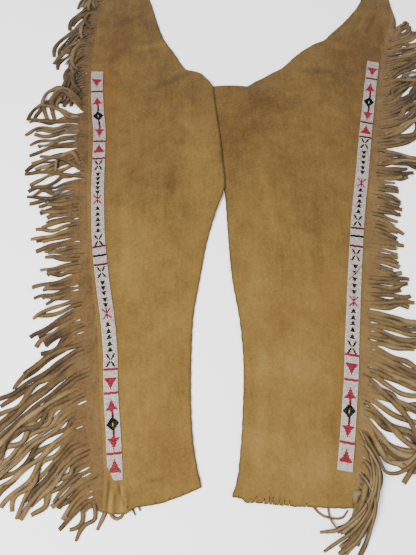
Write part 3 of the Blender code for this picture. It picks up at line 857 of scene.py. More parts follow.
def hide_panel(name, leg, grid, front, material):
    """One hide of a leg as a soft sheet whose cut edges thin out and carry painted shade, with slits in the
    front's hem.
    """
    rows, _ = leg_rows(leg, *grid[:3])
    columns = grid[3]
    shares = np.linspace(0, 1, columns + 1)
    share = np.broadcast_to(shares, (len(rows), columns + 1)).copy()
    x = rows[:, :1] + (rows[:, 2:3] - rows[:, :1]) * share
    y = rows[:, 1:2] + (rows[:, 3:4] - rows[:, 1:2]) * share
    y = y - rows[:, 4:5] * np.sin(np.pi * share)
    above = ease((rows[:, 1:2] - leg["rise"][0][1] + 0.01) / 0.01)
    for dip_x, depth, half_width in leg["dips"]:
        dip = depth * np.exp(-(((rows[:, :1] - dip_x) / half_width) ** 2))
        y = y - dip * above * (1 - ease(share / DIP_REACH))
    width = abs(rows[:, 2:3] - rows[:, :1])
    from_edge = np.minimum(share, 1 - share) * width
    up_leg = y - y[0]
    keep = np.ones((len(rows) - 1, columns), bool)
    if front:
        low = front_height(leg, x, y, share)
        hem = np.array([noise.noise(Vector((40 * s, leg["out"], 0.3))) for s in shares])
        drop = np.interp(shares, *np.array(leg["drop"]).T) + 0.0012 * hem
        y = y - drop * (1 - ease(up_leg / 0.03))
        for at, depth in leg["slits"]:
            column = int(at * columns)
            cut = up_leg[:, column] < depth
            keep[cut[:-1], column] = False
            x[cut, column] += leg["out"] * 0.0008
            x[cut, column + 1] -= leg["out"] * 0.0008
    else:
        low = back_height(leg, x, y, share) + np.zeros_like(x)
    to_cut = np.minimum(np.where(share < 0.5, from_edge, 1.0), up_leg + 0.0005)
    thin = EDGE_THIN + (1 - EDGE_THIN) * ease(to_cut / 0.002)
    high = low + HIDE * thin
    ragged = 0.0004 * np.sin(y * 310) * (share == 0) * leg["out"]
    tone, rust = tones(leg, x, y)
    # painted shade in the creases' troughs and painted highlight on their ridges
    tone = tone + CREASE_SHADING * front * ridges(leg["creases"], x, y)
    # painted shade along the inner cut edge and the hem, and all over the under face
    edge = 1 - ease(np.minimum(np.where(share < 0.5, from_edge, 1.0), up_leg) / EDGE_BAND)
    points = np.concatenate([np.stack([x + ragged, y, z], -1).reshape(-1, 3) for z in (low, high)])
    marks = {
        "tone": np.tile(np.ravel(tone), 2),
        "rust": np.tile(np.ravel(rust), 2),
        "edge": np.concatenate([np.ones(edge.size), np.ravel(edge)]),
    }
    mesh = smooth_mesh(name, points, shell_faces(keep), marks)
    area = float(np.sum(np.diff((rows[:, 1] + rows[:, 3]) / 2) * (width[1:, 0] + width[:-1, 0]) / 2))
    return piece(name, mesh, material), area


def root_heights(leg):
    """Heights on the seam of the cuts between the strands, closer together near the hip."""
    low, high = leg["fan"][0][0], leg["fan"][-1][0]
    ys = [low]
    while ys[-1] < high:
        ys.append(ys[-1] + np.interp(ys[-1], *np.array(PITCHES).T))
    ys = np.array(ys)
    return low + (ys - low) * (high - low) / (ys[-1] - low)


def plan_at(leg, y):
    """A strand's length, and its turns towards the hem near its root and at its tip."""
    fan = np.array(leg["fan"], float)
    return [np.interp(y, fan[:, 0], fan[:, column]) for column in (1, 2, 3)]


def strand_line(leg, root, plan, slant, sway):
    """Points in plan view and headings of a strand, every millimetre from its root."""
    out = leg["out"]
    bend = np.interp(root[1], *np.array(leg["bends"]).T)
    length, leave, end = plan
    leave = min(leave, STEEPEST_LEAVE)
    reach = np.linspace(0, length, int(round(length / CELL)) + 1)
    turned = ease(reach / TURN_IN)
    turn = turned * leave + (end - leave) * (reach / length) ** bend + slant * (1 - turned)
    turn += sway[0] * np.sin(sway[1] + reach * sway[2]) * ease((reach - 0.01) / 0.03)
    angle = np.radians(turn)
    heading = np.stack([out * np.cos(angle), -np.sin(angle)], axis=1)
    steps = (heading[1:] + heading[:-1]) / 2 * (reach[1] - reach[0])
    return reach, np.vstack([[root], root + np.cumsum(steps, axis=0)]), heading


def aside_of(heading):
    return np.stack([-heading[:, 1], heading[:, 0]], axis=1)


def headings(points):
    heading = np.gradient(points, axis=0)
    return heading / np.linalg.norm(heading, axis=1)[:, None]


def new_sway(rng):
    return rng.uniform(2, 8), rng.uniform(0, 6.3), 2 * math.pi / rng.uniform(0.045, 0.10)


def bundle_lines(leg, members, ys, roots, slant, rng):
    """Middle lines of the strands of one bundle, which come together beyond the flap."""
    out = leg["out"]
    middles = (ys[:-1] + ys[1:]) / 2
    longer, out_turn, tip_turn = rng.uniform(-1, 1, 3) * JITTER
    length, leave, end = plan_at(leg, middles[members].mean())
    plan = (length * (1 + longer) * 1.08, leave + out_turn, end + tip_turn)
    centre = roots[members].mean(axis=0)
    reach, line, heading = strand_line(leg, centre, plan, slant[members].mean(), new_sway(rng))
    close = rng.uniform(*BUNDLE_CLOSE) * sum(leg["widths"]) / 2
    together = ease((reach - 0.003) / BUNDLE_BY)[:, None]
    aside = aside_of(heading)
    lines = {}
    for k in members:
        place = (k - np.mean(members)) * close * out
        _, phase, pace = new_sway(rng)
        drift = rng.choice(DRIFTS) * np.sin(phase + reach * pace)
        drift += rng.normal(0, 0.10) * np.maximum(reach - 0.6 * reach[-1], 0)
        drift *= ease((reach - 0.012) / 0.04)
        points = line + (roots[k] - centre) * (1 - together) + aside * (place * together + drift[:, None])
        keep = int(len(reach) * rng.uniform(0.74, 1.0))
        lines[k] = points[:keep]
    return lines


def laid_lines(leg, ys, cuts, slant, rng):
    """The strands' middle lines by number, in the order in which the strands lie down."""
    roots = (cuts[:-1, -1] + cuts[1:, -1]) / 2
    slant = (slant[:-1] + slant[1:]) / 2
    middles = (ys[:-1] + ys[1:]) / 2
    groups, first = [], 0
    while first < len(middles):
        size = int(rng.choice(BUNDLES))
        groups.append(np.arange(first, min(first + size, len(middles))))
        first += size
    lines = {}
    for group in rng.permutation(len(groups)):
        lines.update(bundle_lines(leg, groups[group], ys, roots, slant, rng))
    strays = [k for k in range(2, len(middles) - 2) if rng.random() < STRAY_SHARE]
    plans = []
    for k in strays:
        length, leave, end = plan_at(leg, middles[k])
        turn = rng.uniform(-1, 1) * STRAY_TURN
        plans.append((k, (length * rng.uniform(0.75, 1.1), leave + turn * 0.6, end - turn)))
    for y, *plan in leg["loose"]:
        plans.append((int(np.argmin(abs(middles - y))), tuple(plan)))
    for k, plan in plans:
        lines.pop(k, None)
        lines[k] = strand_line(leg, roots[k], plan, slant[k], new_sway(rng))[1]
    for y, route in leg["routes"]:
        k = int(np.argmin(abs(middles - y)))
        lines.pop(k, None)
        lines[k] = placed_line((roots[k], *route))
    return lines


def placed_line(route):
    """Points every millimetre of the smooth way through given points."""
    rough = smooth_curve(route, np.linspace(0, 1, 200))
    length = np.linalg.norm(np.diff(rough, axis=0), axis=1).sum()
    return smooth_curve(route, np.linspace(0, 1, int(length / CELL) + 1))


def field_cells(points):
    cells = np.round((points - FIELD_LOW) / CELL).astype(int)
    return np.clip(cells[..., 0], 1, FIELD_SIZE[0] - 2), np.clip(cells[..., 1], 1, FIELD_SIZE[1] - 2)


def lie_down(field, points, aside, half, start):
    """Heights across a ribbon where it lies on the floor and on what was laid before it."""
    inside = np.maximum(half - 0.0013, 0.0004)[:, None, None]
    cells = field_cells(points[:, None] + aside[:, None] * ACROSS[:, None] * inside)
    near = [field[cells[0] + i, cells[1] + j] for i in (-1, 0, 1) for j in (-1, 0, 1)]
    under = np.minimum(np.max(near, axis=0), PILE_TOP)
    need = np.maximum(under + LIE_GAP, LIE_LOW) + STRAND_THICK / 2
    free = ease((np.arange(len(points)) * CELL - 0.004) / 0.010)[:, None]
    need = need * free + start * (1 - free)
    height = need.copy()
    step = SIDE_SLOPE * half / 2
    for i in range(1, len(ACROSS)):
        height[:, i] = np.maximum(height[:, i], height[:, i - 1] - step)
    for i in range(len(ACROSS) - 2, -1, -1):
        height[:, i] = np.maximum(height[:, i], height[:, i + 1] - step)
    for i in range(1, len(height)):
        height[i] = np.maximum(height[i], height[i - 1] - SLOPE * CELL)
    for i in range(len(height) - 2, -1, -1):
        height[i] = np.maximum(height[i], height[i + 1] - SLOPE * CELL)
    height = height * free + start * (1 - free)
    padded = np.pad(height, ((3, 3), (0, 0)), mode="edge")
    height = np.maximum(sum(padded[i : i + len(height)] for i in range(7)) / 7, need - 0.0002)
    spread = np.linspace(-1, 1, 9)
    cells = field_cells(points[:, None] + aside[:, None] * spread[:, None] * half[:, None, None])
    tops = np.array([np.interp(spread, ACROSS, row) for row in height]) + STRAND_THICK / 2
    np.maximum.at(field, cells, tops)
    return height


def ribbon_rings(points, aside, halves, heights, thick, roll, curl, round_off):
    """Rings of points round a ribbon: its upper side across, then its under side back."""
    u = ACROSS[None, :]
    across = np.where(u < 0, halves[0][:, None], halves[1][:, None]) * u
    half_thick = thick[:, None] / 2 * (1 - 0.55 * round_off[:, None] * u**4)
    bow = curl[:, None] * (0.67 - u**2)
    c, s = np.cos(roll)[:, None], np.sin(roll)[:, None]
    lift = heights + abs(s) * across.max(axis=1)[:, None] * 0.8
    sides = []
    for up in (bow + half_thick, bow - half_thick):
        flat = points[:, None, :] + aside[:, None, :] * (across * c - up * s)[..., None]
        sides.append(np.concatenate([flat, (lift + across * s + up * c)[..., None]], axis=2))
    rings = np.concatenate([sides[0], sides[1][:, ::-1]], axis=1)
    rings[..., 2] += np.maximum(LIE_LOW - rings[..., 2].min(axis=1), 0)[:, None]
    return rings


class Ribbons:
    """Ribbons gathered into one mesh, with the numbers that their leather is coloured by."""

    def __init__(self):
        self.points, self.faces = [], []
        self.marks = {"tone": [], "rust": [], "edge": []}
        self.count = 0

    def add(self, rings, tone, rust, dark, open_a=0, open_b=0):
        """Adds a ribbon whose sides a and b are closed only from the given rings on."""
        count, around = rings.shape[:2]
        across = around // 2
        first = self.count + np.arange(count) * around
        for k in range(count - 1):
            for i in range(around):
                side_a, side_b = i == around - 1, i == across - 1
                if (side_a and k < open_a) or (side_b and k < open_b):
                    continue
                j = (i + 1) % around
                a, b = int(first[k]), int(first[k + 1])
                self.faces.append((a + i, a + j, b + j, b + i))
        self.faces.append(tuple(range(self.count, self.count + around)))
        self.faces.append(tuple(range(int(first[-1]), int(first[-1]) + around)))
        self.points.append(rings.reshape(-1, 3))
        # painted shade along a ribbon's sides, in the gaps between strands
        rim = np.abs(np.concatenate([ACROSS, ACROSS[::-1]])) ** RIM_POWER
        reach = np.arange(count)[:, None]
        closed = np.where(ACROSS < 0, reach > open_a, reach > open_b)
        closed = np.concatenate([closed, closed[:, ::-1]], axis=1)
        self.marks["edge"].append((rim * closed * dark[:, None]).ravel())
        self.marks["tone"].append(np.repeat(tone, around))
        self.marks["rust"].append(np.repeat(rust, around))
        self.count += count * around

    def mesh(self, name):
        marks = {mark: np.concatenate(values) for mark, values in self.marks.items()}
        return smooth_mesh(name, np.concatenate(self.points), self.faces, marks, 60, 1e-5)


def fringe_tones(leg, x, y):
    """The same for the fringe, which takes only part of the tone of the hide beside it."""
    tone, rust = tones(leg, x, y)
    return leg["strand"][0] + FRINGE_TONE * tone, leg["strand"][1] + rust


def flap_rings(sides, slits, openings):
    """Rings of one strand's stretch of the flap, whose sides are the cuts beside it."""
    steps = np.arange(sides.shape[1])
    way = sides[1] - sides[0]
    way = way / np.linalg.norm(way, axis=1)[:, None]
    end = ease((steps - (len(steps) - 4)) / 3)
    cut = steps[None] > np.array(slits)[:, None]
    off = cut * (CUT_GAP + (np.array(openings)[:, None] - CUT_GAP) * end)
    a = sides[0] + way * off[0][:, None]
    b = sides[1] - way * off[1][:, None]
    flat = a[:, None] + (b - a)[:, None] * ((ACROSS + 1) / 2)[:, None]
    flat = np.concatenate([flat, flat[:, ::-1]], axis=1)
    soft = CUT_SOFT * (cut[0][:, None] * (ACROSS == -1) + cut[1][:, None] * (ACROSS == 1))
    z = np.concatenate([FLAP_HIGH - soft, (FLAP_LOW + soft)[:, ::-1]], axis=1)
    return np.concatenate([flat, z[..., None]], axis=2)


def fringe(name, leg, field, material):
    """The flap beyond the seam with the cuts in it, and the strands that they part."""
    out = leg["out"]
    rng = np.random.default_rng(leg["seed"] + 100)
    ys = root_heights(leg)
    width = np.interp(ys, *np.array(leg["flap"]).T)
    fan = np.array(leg["fan"], float)
    slant = SLANT_SHARE * np.interp(ys, fan[:, 0], fan[:, 2])
    slant[[0, -1]] = 0
    share = np.linspace(0, 1, FLAP_STEPS + 1)
    start_y = ys + width * np.tan(np.radians(slant))
    start_x = seam_edge(leg, start_y) + out * FLAP_GAP
    end_x = seam_edge(leg, ys) + out * width
    cuts = np.stack([
        start_x[:, None] + (end_x - start_x)[:, None] * share,
        start_y[:, None] + (ys - start_y)[:, None] * share,
    ], axis=2)
    cuts[0, :, 1] -= leg["drop"][-1][1] * (1 - share)
    slit = rng.choice(SLIT_STARTS, len(ys))
    slit[[0, -1]] = 0
    wide_open = rng.random(len(ys)) < OPEN_SHARE
    opening = np.where(wide_open, rng.uniform(*OPENINGS, len(ys)), CUT_GAP)
    for k in range(1, len(ys)):
        field[field_cells(np.linspace(cuts[k - 1], cuts[k], 12).reshape(-1, 2))] = FLAP_HIGH

    ribbons = Ribbons()
    lines = laid_lines(leg, ys, cuts, slant, rng)
    # painted shade: strands laid first, which lie lowest, are darker, and those on top lighter
    for depth, (k, line) in zip(np.linspace(*DEPTH_SHADES, len(lines)), lines.items()):
        a, b = (k, k + 1) if out > 0 else (k + 1, k)
        reach = np.arange(len(line)) * CELL
        heading = headings(line)
        way = cuts[b, -1] - cuts[a, -1]
        pitch = np.linalg.norm(way)
        aside = aside_of(heading)
        turned = ease(reach / 0.014)[:, None]
        aside = way / pitch * (1 - turned) + aside * turned
        aside /= np.linalg.norm(aside, axis=1)[:, None]
        own = rng.uniform(*leg["widths"])
        tip = ease((reach - reach[-1] + 0.016) / 0.016)
        base = own + (1.03 * pitch - own) * (1 - ease(reach / NARROW_BY))
        base = base * (1 - 0.10 * ease(reach / reach[-1])) * (1 - rng.uniform(0.0, 0.3) * tip**3)
        bump = np.exp(-(((reach - 0.002) / 0.007) ** 2))
        halves = [base / 2 - opening[side] * bump for side in (a, b)]
        height = lie_down(field, line, aside, base / 2, (FLAP_LOW + FLAP_HIGH) / 2)
        steps = max(5, int(reach[-1] / RING_STEP))
        picks = np.unique(np.round(np.linspace(0, len(reach) - 1, steps + 1)).astype(int))[1:]
        reached = reach[picks]
        free = ease(reached / 0.014)
        thick = (2 * HIDE + (STRAND_THICK - 2 * HIDE) * free) * (1 - 0.35 * tip[picks])
        roll = np.radians(rng.uniform(4, 26)) * np.sin(rng.uniform(0, 6.3) + reached * rng.uniform(40, 130))
        curl = rng.choice([-1, 1], p=[0.3, 0.7]) * rng.uniform(0.0002, 0.0010)
        rings = np.concatenate([
            flap_rings(cuts[[a, b]], slit[[a, b]], opening[[a, b]]),
            ribbon_rings(line[picks], aside[picks], [half[picks] for half in halves], height[picks],
                         thick, roll * ease(reached / 0.03), curl * free, free),
        ])
        along = np.concatenate([np.zeros(FLAP_STEPS + 1), ease(reached / 0.05)])
        tone, rust = fringe_tones(leg, *line[0])
        tone = tone + leg["root"][0] * (1 - along)
        rust = rust + leg["root"][1] * (1 - along)
        ring = np.arange(len(rings))
        # how deep the painted shade along the strand's sides is, from ring to ring
        dark = 0.65 + 0.35 * np.sin(rng.uniform(0, 6.3) + ring * rng.uniform(0.3, 0.9))
        dark *= ease((ring - FLAP_STEPS - rng.choice(FUSED)) / 4)
        ribbons.add(rings, tone + (depth + rng.uniform(*OWN_TONES)) * along, rust, dark, *slit[[a, b]])
    add_margin(ribbons, leg, cuts[-1], width[-1])
    for width, route in leg["thongs"]:
        add_thong(ribbons, field, width, route, rng)
    return piece(name, ribbons.mesh(name), material)


def add_margin(ribbons, leg, cut, width):
    """The uncut flap above the last strand, narrowing to nothing towards the hip tab."""
    ys = np.linspace(cut[-1, 1], leg["rise"][-1][3] - 0.004, 24)
    share = (ys - ys[0]) / (ys[-1] - ys[0])
    inner = np.stack([seam_edge(leg, ys) + leg["out"] * FLAP_GAP, ys], axis=1)
    outer = inner.copy()
    outer[:, 0] += leg["out"] * (0.0012 + (width - 0.0012) * (1 - ease(1.36 * share)))
    sides = np.array([inner, outer])
    tone, rust = fringe_tones(leg, inner[:, 0], ys)
    rings = flap_rings(sides, (len(ys), -1), (CUT_GAP, 0))
    ribbons.add(rings, tone + leg["root"][0], rust + leg["root"][1], np.ones(len(ys)), len(ys), 0)


def add_thong(ribbons, field, width, route, rng):
    """A thong or stray strand through given points, laid on what is under it."""
    line = placed_line(route)
    length = (len(line) - 1) * CELL
    aside = aside_of(headings(line))
    reach = np.linspace(0, length, len(line))
    half = np.full(len(line), width / 2) * (1 - 0.3 * ease((reach - length + 0.015) / 0.015))
    height = lie_down(field, line, aside, half, STRAND_THICK)
    picks = np.round(np.linspace(0, len(line) - 1, int(length / RING_STEP) + 2)).astype(int)
    picks = np.unique(picks)
    ones = np.ones(len(picks))
    roll = math.radians(rng.uniform(-10, 10)) * ones
    rings = ribbon_rings(line[picks], aside[picks], [half[picks], half[picks]], height[picks],
                         STRAND_THICK * ones, roll, 0.0005 * ones, ones)
    ribbons.add(rings, rng.uniform(-0.2, 0.3) * ones, 0.1 * ones, ones)


def strip_place(leg, y, across):
    """Point on the front at a distance in from the seam, level with a height y on the seam."""
    seam = seam_edge(leg, y)
    slope = np.interp(y, leg["seam_y"], leg["seam_slope"])
    inward = across * leg["out"] / np.hypot(1.0, slope)
    x = seam - inward
    y = y + inward * slope
    inner = inner_edge(leg, y)
    share = (x - inner) / (seam_edge(leg, y) - inner)
    return x, y, front_height(leg, x, y, share) + HIDE, slope


def on_strip(leg, y, across):
    """The same at a distance in from the beaded strip's outer edge."""
    return strip_place(leg, y, np.interp(y, *np.array(leg["inset"]).T) + across)


def tucked(leg, y, across):
    """Whether a place on the strip is in the corner that the right leg's hide lies over."""
    return (leg["out"] < 0) & ((y - leg["strip"][0]) / TUCKED[0] + across / TUCKED[1] < 1)


def backing(name, leg, material):
    """The thin strip that the beads are sewn to, on the front along the seam."""
    ys = np.linspace(leg["strip"][0] - 0.0008, leg["strip"][1] + 0.0008, 400)
    across = np.linspace(-0.0003, STRIP_WIDTH + 0.0003, 14)
    grid_y, grid_a = np.meshgrid(ys, across, indexing="ij")
    x, y, z, _ = on_strip(leg, grid_y, grid_a)
    layers = [z + BACKING_LIFT, z + BACKING_LIFT + BACKING_THICK]
    points = np.concatenate([np.stack([x, y, layer], -1).reshape(-1, 3) for layer in layers])
    keep = ~tucked(leg, grid_y, grid_a)[:-1, :-1]
    return piece(name, smooth_mesh(name, points, shell_faces(keep)), material)


class BeadChart:
    """Colours of a strip's beads, row by row from the hem, painted motif by motif."""

    def __init__(self, low, high):
        self.cells = np.full((BEAD_ROWS, BEAD_COLUMNS), WHITE)
        self.low, self.high = low, high
        self.centre = BEAD_COLUMNS // 2

    def row(self, y):
        return int(round((y - self.low) / (self.high - self.low) * BEAD_ROWS))

    def fill(self, row, half, colour, shift=0):
        self.cells[row, self.centre + shift - half : self.centre + shift + half + 1] = colour

    def bar(self, y, colour, rows=2):
        for k in range(rows):
            self.fill(self.row(y) + k, self.centre, colour)

    def stack(self, y, point, halves, colour):
        """Rows of given half widths from the point of a shape, which is up (1) or down (-1)."""
        first = self.row(y) + point * (len(halves) // 2)
        for k, half in enumerate(halves):
            self.fill(first - point * k, half, colour)

    def triangle(self, y, point):
        self.stack(y, point, (0, 0, 1, 1, 2, 2, 3, 4, 5, 5), RED)

    def arrow(self, y, point):
        """An arrowhead away from the diamond, with its stem back towards it."""
        halves = (0, 0, 1, 1, 2, 2, 3, 4, 5, 1)
        self.stack(y, point, halves, RED)
        base = self.row(y) + point * (len(halves) // 2) - point * len(halves)
        for k in range(8):
            for shift in (0, 1):
                colour = RED if k < 1 else DARK_RED if k < 5 else BLACK
                self.fill(base - point * k, 0, colour, shift)

    def diamond(self, y, middle):
        self.stack(y, 1, (0, 0, 1, 2, 3, 4, 5, 5, 4, 3, 2, 1, 0, 0), BLACK)
        self.stack(y, 1, (0, 0, 0), middle)

    def cross(self, y):
        for k in range(-5, 6):
            first, last = ((0, 0), (0, 1), (1, 2), (2, 3), (2, 3), (3, 4))[abs(k)]
            for side in (-1, 1):
                for step in range(first, last + 1):
                    self.fill(self.row(y) + k, 0, BLACK, side * step)
        for k in (-1, 0, 1):
            self.fill(self.row(y) + k, 0, YELLOW)

    def star(self, y):
        for k in range(-4, 5):
            for side in (-1, 1):
                for step in {abs(k), max(abs(k) - 1, 0)}:
                    self.fill(self.row(y) + k, 0, RED, side * step)
        for k in range(-4, 6):
            self.fill(self.row(y) + k, 0, DARK_RED)

    def small_triangles(self, ends, point):
        for y in np.linspace(*ends, 5):
            self.stack(y, point, (0, 1, 1, 2), BLACK)


def chart_for(leg):
    """The colours of a strip's beads."""
    chart = BeadChart(*leg["strip"])
    paint_motif = {
        "triangle": chart.triangle,
        "arrow": chart.arrow,
        "diamond": chart.diamond,
        "cross": chart.cross,
        "star": chart.star,
        "row": chart.small_triangles,
        "red bar": lambda y: chart.bar(y, RED),
        "dark bar": lambda y: chart.bar(y, DARK_RED),
        "black bar": lambda y: chart.bar(y, BLACK),
    }
    for motif, *where in leg["motifs"]:
        paint_motif[motif](*where)
    return chart.cells


def bead_template(length):
    """Points and faces of one bead, whose hole lies along X."""
    angles = np.arange(BEAD_SIDES) * 2 * math.pi / BEAD_SIDES
    points = np.array([
        (along * length, radius * BEAD_RADIUS * math.cos(a), radius * BEAD_RADIUS * math.sin(a))
        for along, radius in BEAD_PROFILE
        for a in angles
    ])
    faces = [
        (k * BEAD_SIDES + i, k * BEAD_SIDES + (i + 1) % BEAD_SIDES,
         (k + 1) * BEAD_SIDES + (i + 1) % BEAD_SIDES, (k + 1) * BEAD_SIDES + i)
        for k in range(len(BEAD_PROFILE) - 1)
        for i in range(BEAD_SIDES)
    ]
    faces.append(tuple(range(BEAD_SIDES)))
    faces.append(tuple(range(len(points) - BEAD_SIDES, len(points))))
    return points, faces


def beads(side, leg, materials):
    """The beads of a strip, one piece for each colour."""
    cells = chart_for(leg)
    low, high = leg["strip"]
    rng = np.random.default_rng(leg["seed"] + 200)
    pitch = STRIP_WIDTH / BEAD_COLUMNS
    row, column = np.meshgrid(np.arange(BEAD_ROWS), np.arange(BEAD_COLUMNS), indexing="ij")
    rows_y = low + (row + 0.5) / BEAD_ROWS * (high - low)
    order = column if leg["out"] < 0 else BEAD_COLUMNS - 1 - column
    across = (order + 0.5) * pitch
    cells[tucked(leg, rows_y, across)] = EMPTY
    slant = 0.0010 * np.sin(rows_y * 41 + leg["out"]) * (order - BEAD_COLUMNS // 2) / BEAD_COLUMNS
    ripple = 0.0003 * np.sin(order * 1.1 + rows_y * 60)
    x, y, z, slope = on_strip(leg, rows_y + slant + ripple, across)
    z = z + BACKING_LIFT + BACKING_THICK + BEAD_RADIUS * 0.93
    template, faces = bead_template(pitch * BEAD_FILL)
    turn = np.arctan2(slope, 1.0) * -1
    grow = rng.uniform(0.94, 1.04, cells.shape)
    shift = rng.normal(0, 0.00006, (*cells.shape, 3))
    # each bead's own paleness, plus painted light that grows towards the hem
    tint = rng.uniform(*BEAD_TINTS, cells.shape) + BEAD_LIGHT_FALLOFF * (0.5 - row / BEAD_ROWS)
    made = []
    for colour, colour_name in enumerate(BEAD_NAMES):
        picked = cells == colour
        count = int(picked.sum())
        c, s = np.cos(turn[picked]), np.sin(turn[picked])
        local = template[None] * grow[picked][:, None, None]
        points = np.stack([
            local[..., 0] * c[:, None] - local[..., 1] * s[:, None],
            local[..., 0] * s[:, None] + local[..., 1] * c[:, None],
            local[..., 2],
        ], axis=2)
        middle = np.stack([x[picked], y[picked], z[picked]], axis=1) + shift[picked]
        points = (points + middle[:, None]).reshape(-1, 3)
        all_faces = [
            tuple(base + v for v in face)
            for base in range(0, count * len(template), len(template))
            for face in faces
        ]
        marks = {"tint": np.repeat(tint[picked], len(template))}
        name = f"{side}_{colour_name}_beads"
        mesh = smooth_mesh(name, points, all_faces, marks, 62)
        made.append(piece(name, mesh, materials[colour]))
    return made


def tubes(name, lines, radius, material, sides=5):
    """Short threads, each a thin tube through a few points, joined into one mesh."""
    points, faces = [], []
    for line in lines:
        line = np.array(line, float)
        heading = np.gradient(line, axis=0)
        heading /= np.linalg.norm(heading, axis=1)[:, None]
        flat = np.stack([-heading[:, 1], heading[:, 0], np.zeros(len(line))], axis=1)
        flat /= np.maximum(np.linalg.norm(flat, axis=1)[:, None], 1e-9)
        rise = np.cross(heading, flat)
        base = len(points)
        for p, a, b in zip(line, flat, rise):
            for i in range(sides):
                angle = 2 * math.pi * i / sides
                points.append(p + radius * (math.cos(angle) * a + math.sin(angle) * b))
        for k in range(len(line) - 1):
            for i in range(sides):
                j = (i + 1) % sides
                first, second = base + k * sides, base + (k + 1) * sides
                faces.append((first + i, first + j, second + j, second + i))
        faces.append(tuple(range(base, base + sides)))
        faces.append(tuple(range(base + (len(line) - 1) * sides, base + len(line) * sides)))
    return piece(name, smooth_mesh(name, points, faces, sharp=70), material)


def stitch(a, b, dip=0.0004, high=0.0003):
    """A stitch from one point of a surface to another: down at both ends, proud between."""
    a, b = np.array(a), np.array(b)
    up = np.array([0, 0, 1.0])
    return [a - dip * up, a + (b - a) * 0.12 + high * up, (a + b) / 2 + 1.2 * high * up,
            a + (b - a) * 0.88 + high * up, b - dip * up]


def strip_stitches(name, leg, material):
    """Whip stitches that hold the beaded strip along both of its edges."""
    lines = []
    for y in np.arange(leg["strip"][0] + 0.004, leg["strip"][1], 0.0125):
        for inside, outside in ((0.0007, -0.0012), (STRIP_WIDTH - 0.0007, STRIP_WIDTH + 0.0012)):
            ends = []
            for across, along, lift in ((inside, 0.0, BACKING_LIFT + BACKING_THICK), (outside, 0.0012, 0.0)):
                x, py, z, _ = on_strip(leg, np.array([y + along]), np.array([across]))
                ends.append((x[0], py[0], z[0] + lift))
            lines.append(stitch(*ends))
    return tubes(name, lines, 0.00028, material)


def seam_stitches(name, leg, material):
    """The running stitch just inside the outer seam, outside the beaded strip."""
    lines = []
    low, high = leg["rows"][0, 3] + 0.006, tab_foot(leg) - 0.012
    for y in np.arange(low, high, 0.0075):
        ends = []
        for along in (0.0, 0.0046):
            x, py, z, _ = strip_place(leg, np.array([y + along]), np.array([0.0013]))
            ends.append((x[0], py[0], z[0]))
        lines.append(stitch(*ends))
    return tubes(name, lines, 0.0003, material)


def loose_thread(name, leg, material):
    """A loose end of thread that lies across the beads."""
    y, across = np.array(LOOSE_THREAD).T
    x, y, z, _ = on_strip(leg, y, across)
    z = z + BACKING_LIFT + BACKING_THICK + 2 * BEAD_RADIUS
    return tubes(name, [np.stack([x, y, z], axis=1)], 0.0010, material)


def loop_path():
    """The middle of the strap, as y from the tab's top edge and z, from tail round to tail."""
    low = LOOP_HIDE / 2
    high = TAB_LIFT + STACK + SEAM_GAP + LOOP_HIDE / 2
    radius = (high + LOOP_RISE - low) / 2
    turn = LOOP_REACH - radius
    path = [(y, low) for y in np.linspace(-LOOP_TAIL, turn, 18)]
    for angle in np.linspace(-math.pi / 2, math.pi / 2, 15)[1:-1]:
        path.append((turn + radius * math.cos(angle), low + radius * (1 + math.sin(angle))))
    for y in np.linspace(turn, -LOOP_TAIL, 30):
        path.append((y, high + LOOP_RISE * ease((y + LOOP_SLOPE) / (2 * LOOP_SLOPE))))
    return np.array(path), high + LOOP_HIDE / 2


def belt_loop(side, leg, material, thread):
    """The strap folded over the hip tab, and the box of stitches that holds its tails."""
    name = f"{side}_loop_strap"
    inner_x, _, seam_x = leg["rise"][-1][:3]
    middle = (inner_x + seam_x) / 2
    path, top = loop_path()
    way = np.gradient(path, axis=0)
    way /= np.linalg.norm(way, axis=1)[:, None]
    normal = np.stack([way[:, 1], -way[:, 0]], axis=1)
    across = np.linspace(-1, 1, 17)
    half = LOOP_HIDE / 2 * (1 - 0.45 * abs(across) ** 12)
    points, edge = [], []
    for side_of in (-1, 1):
        place = path[:, None] + side_of * normal[:, None] * half[:, None]
        x = middle + LOOP_WIDTH / 2 * across * np.ones((len(path), 1))
        points.append(np.stack([x, leg["top"] + place[..., 0], place[..., 1]], -1).reshape(-1, 3))
        # painted shade along the strap's sides
        edge.append(np.broadcast_to(abs(across) ** 10, (len(path), len(across))).ravel())
    count = len(path) * len(across)
    marks = {"tone": np.full(2 * count, -0.35), "rust": np.full(2 * count, 0.2), "edge": np.concatenate(edge)}
    keep = np.ones((len(path) - 1, len(across) - 1), bool)
    mesh = smooth_mesh(name, np.concatenate(points), shell_faces(keep), marks)
    strap = piece(name, mesh, material)
    low_y, high_y = leg["top"] - LOOP_TAIL + 0.004, leg["top"] - LOOP_SLOPE - 0.002
    left_x, right_x = middle - LOOP_WIDTH / 2 + 0.004, middle + LOOP_WIDTH / 2 - 0.004
    corners = [(left_x, low_y), (right_x, low_y), (right_x, high_y), (left_x, high_y)]
    lines = []
    for a, b in zip(corners, corners[1:] + corners[:1]):
        a, b = np.array(a), np.array(b)
        count = max(1, int(round(np.linalg.norm(b - a) / 0.005)))
        for k in range(count):
            ends = [np.append(a + (b - a) * (k + t) / count, top) for t in (0.12, 0.78)]
            lines.append(stitch(*ends))
    tubes(f"{side}_loop_stitches", lines, 0.0004, thread)
    return strap


def add_node(tree, kind, inputs=None, **settings):
    node = tree.nodes.new(kind)
    for key, value in settings.items():
        setattr(node, key, value)
    for key, value in (inputs or {}).items():
        if isinstance(value, bpy.types.NodeSocket):
            tree.links.new(value, node.inputs[key])
        else:
            node.inputs[key].default_value = value
    return node


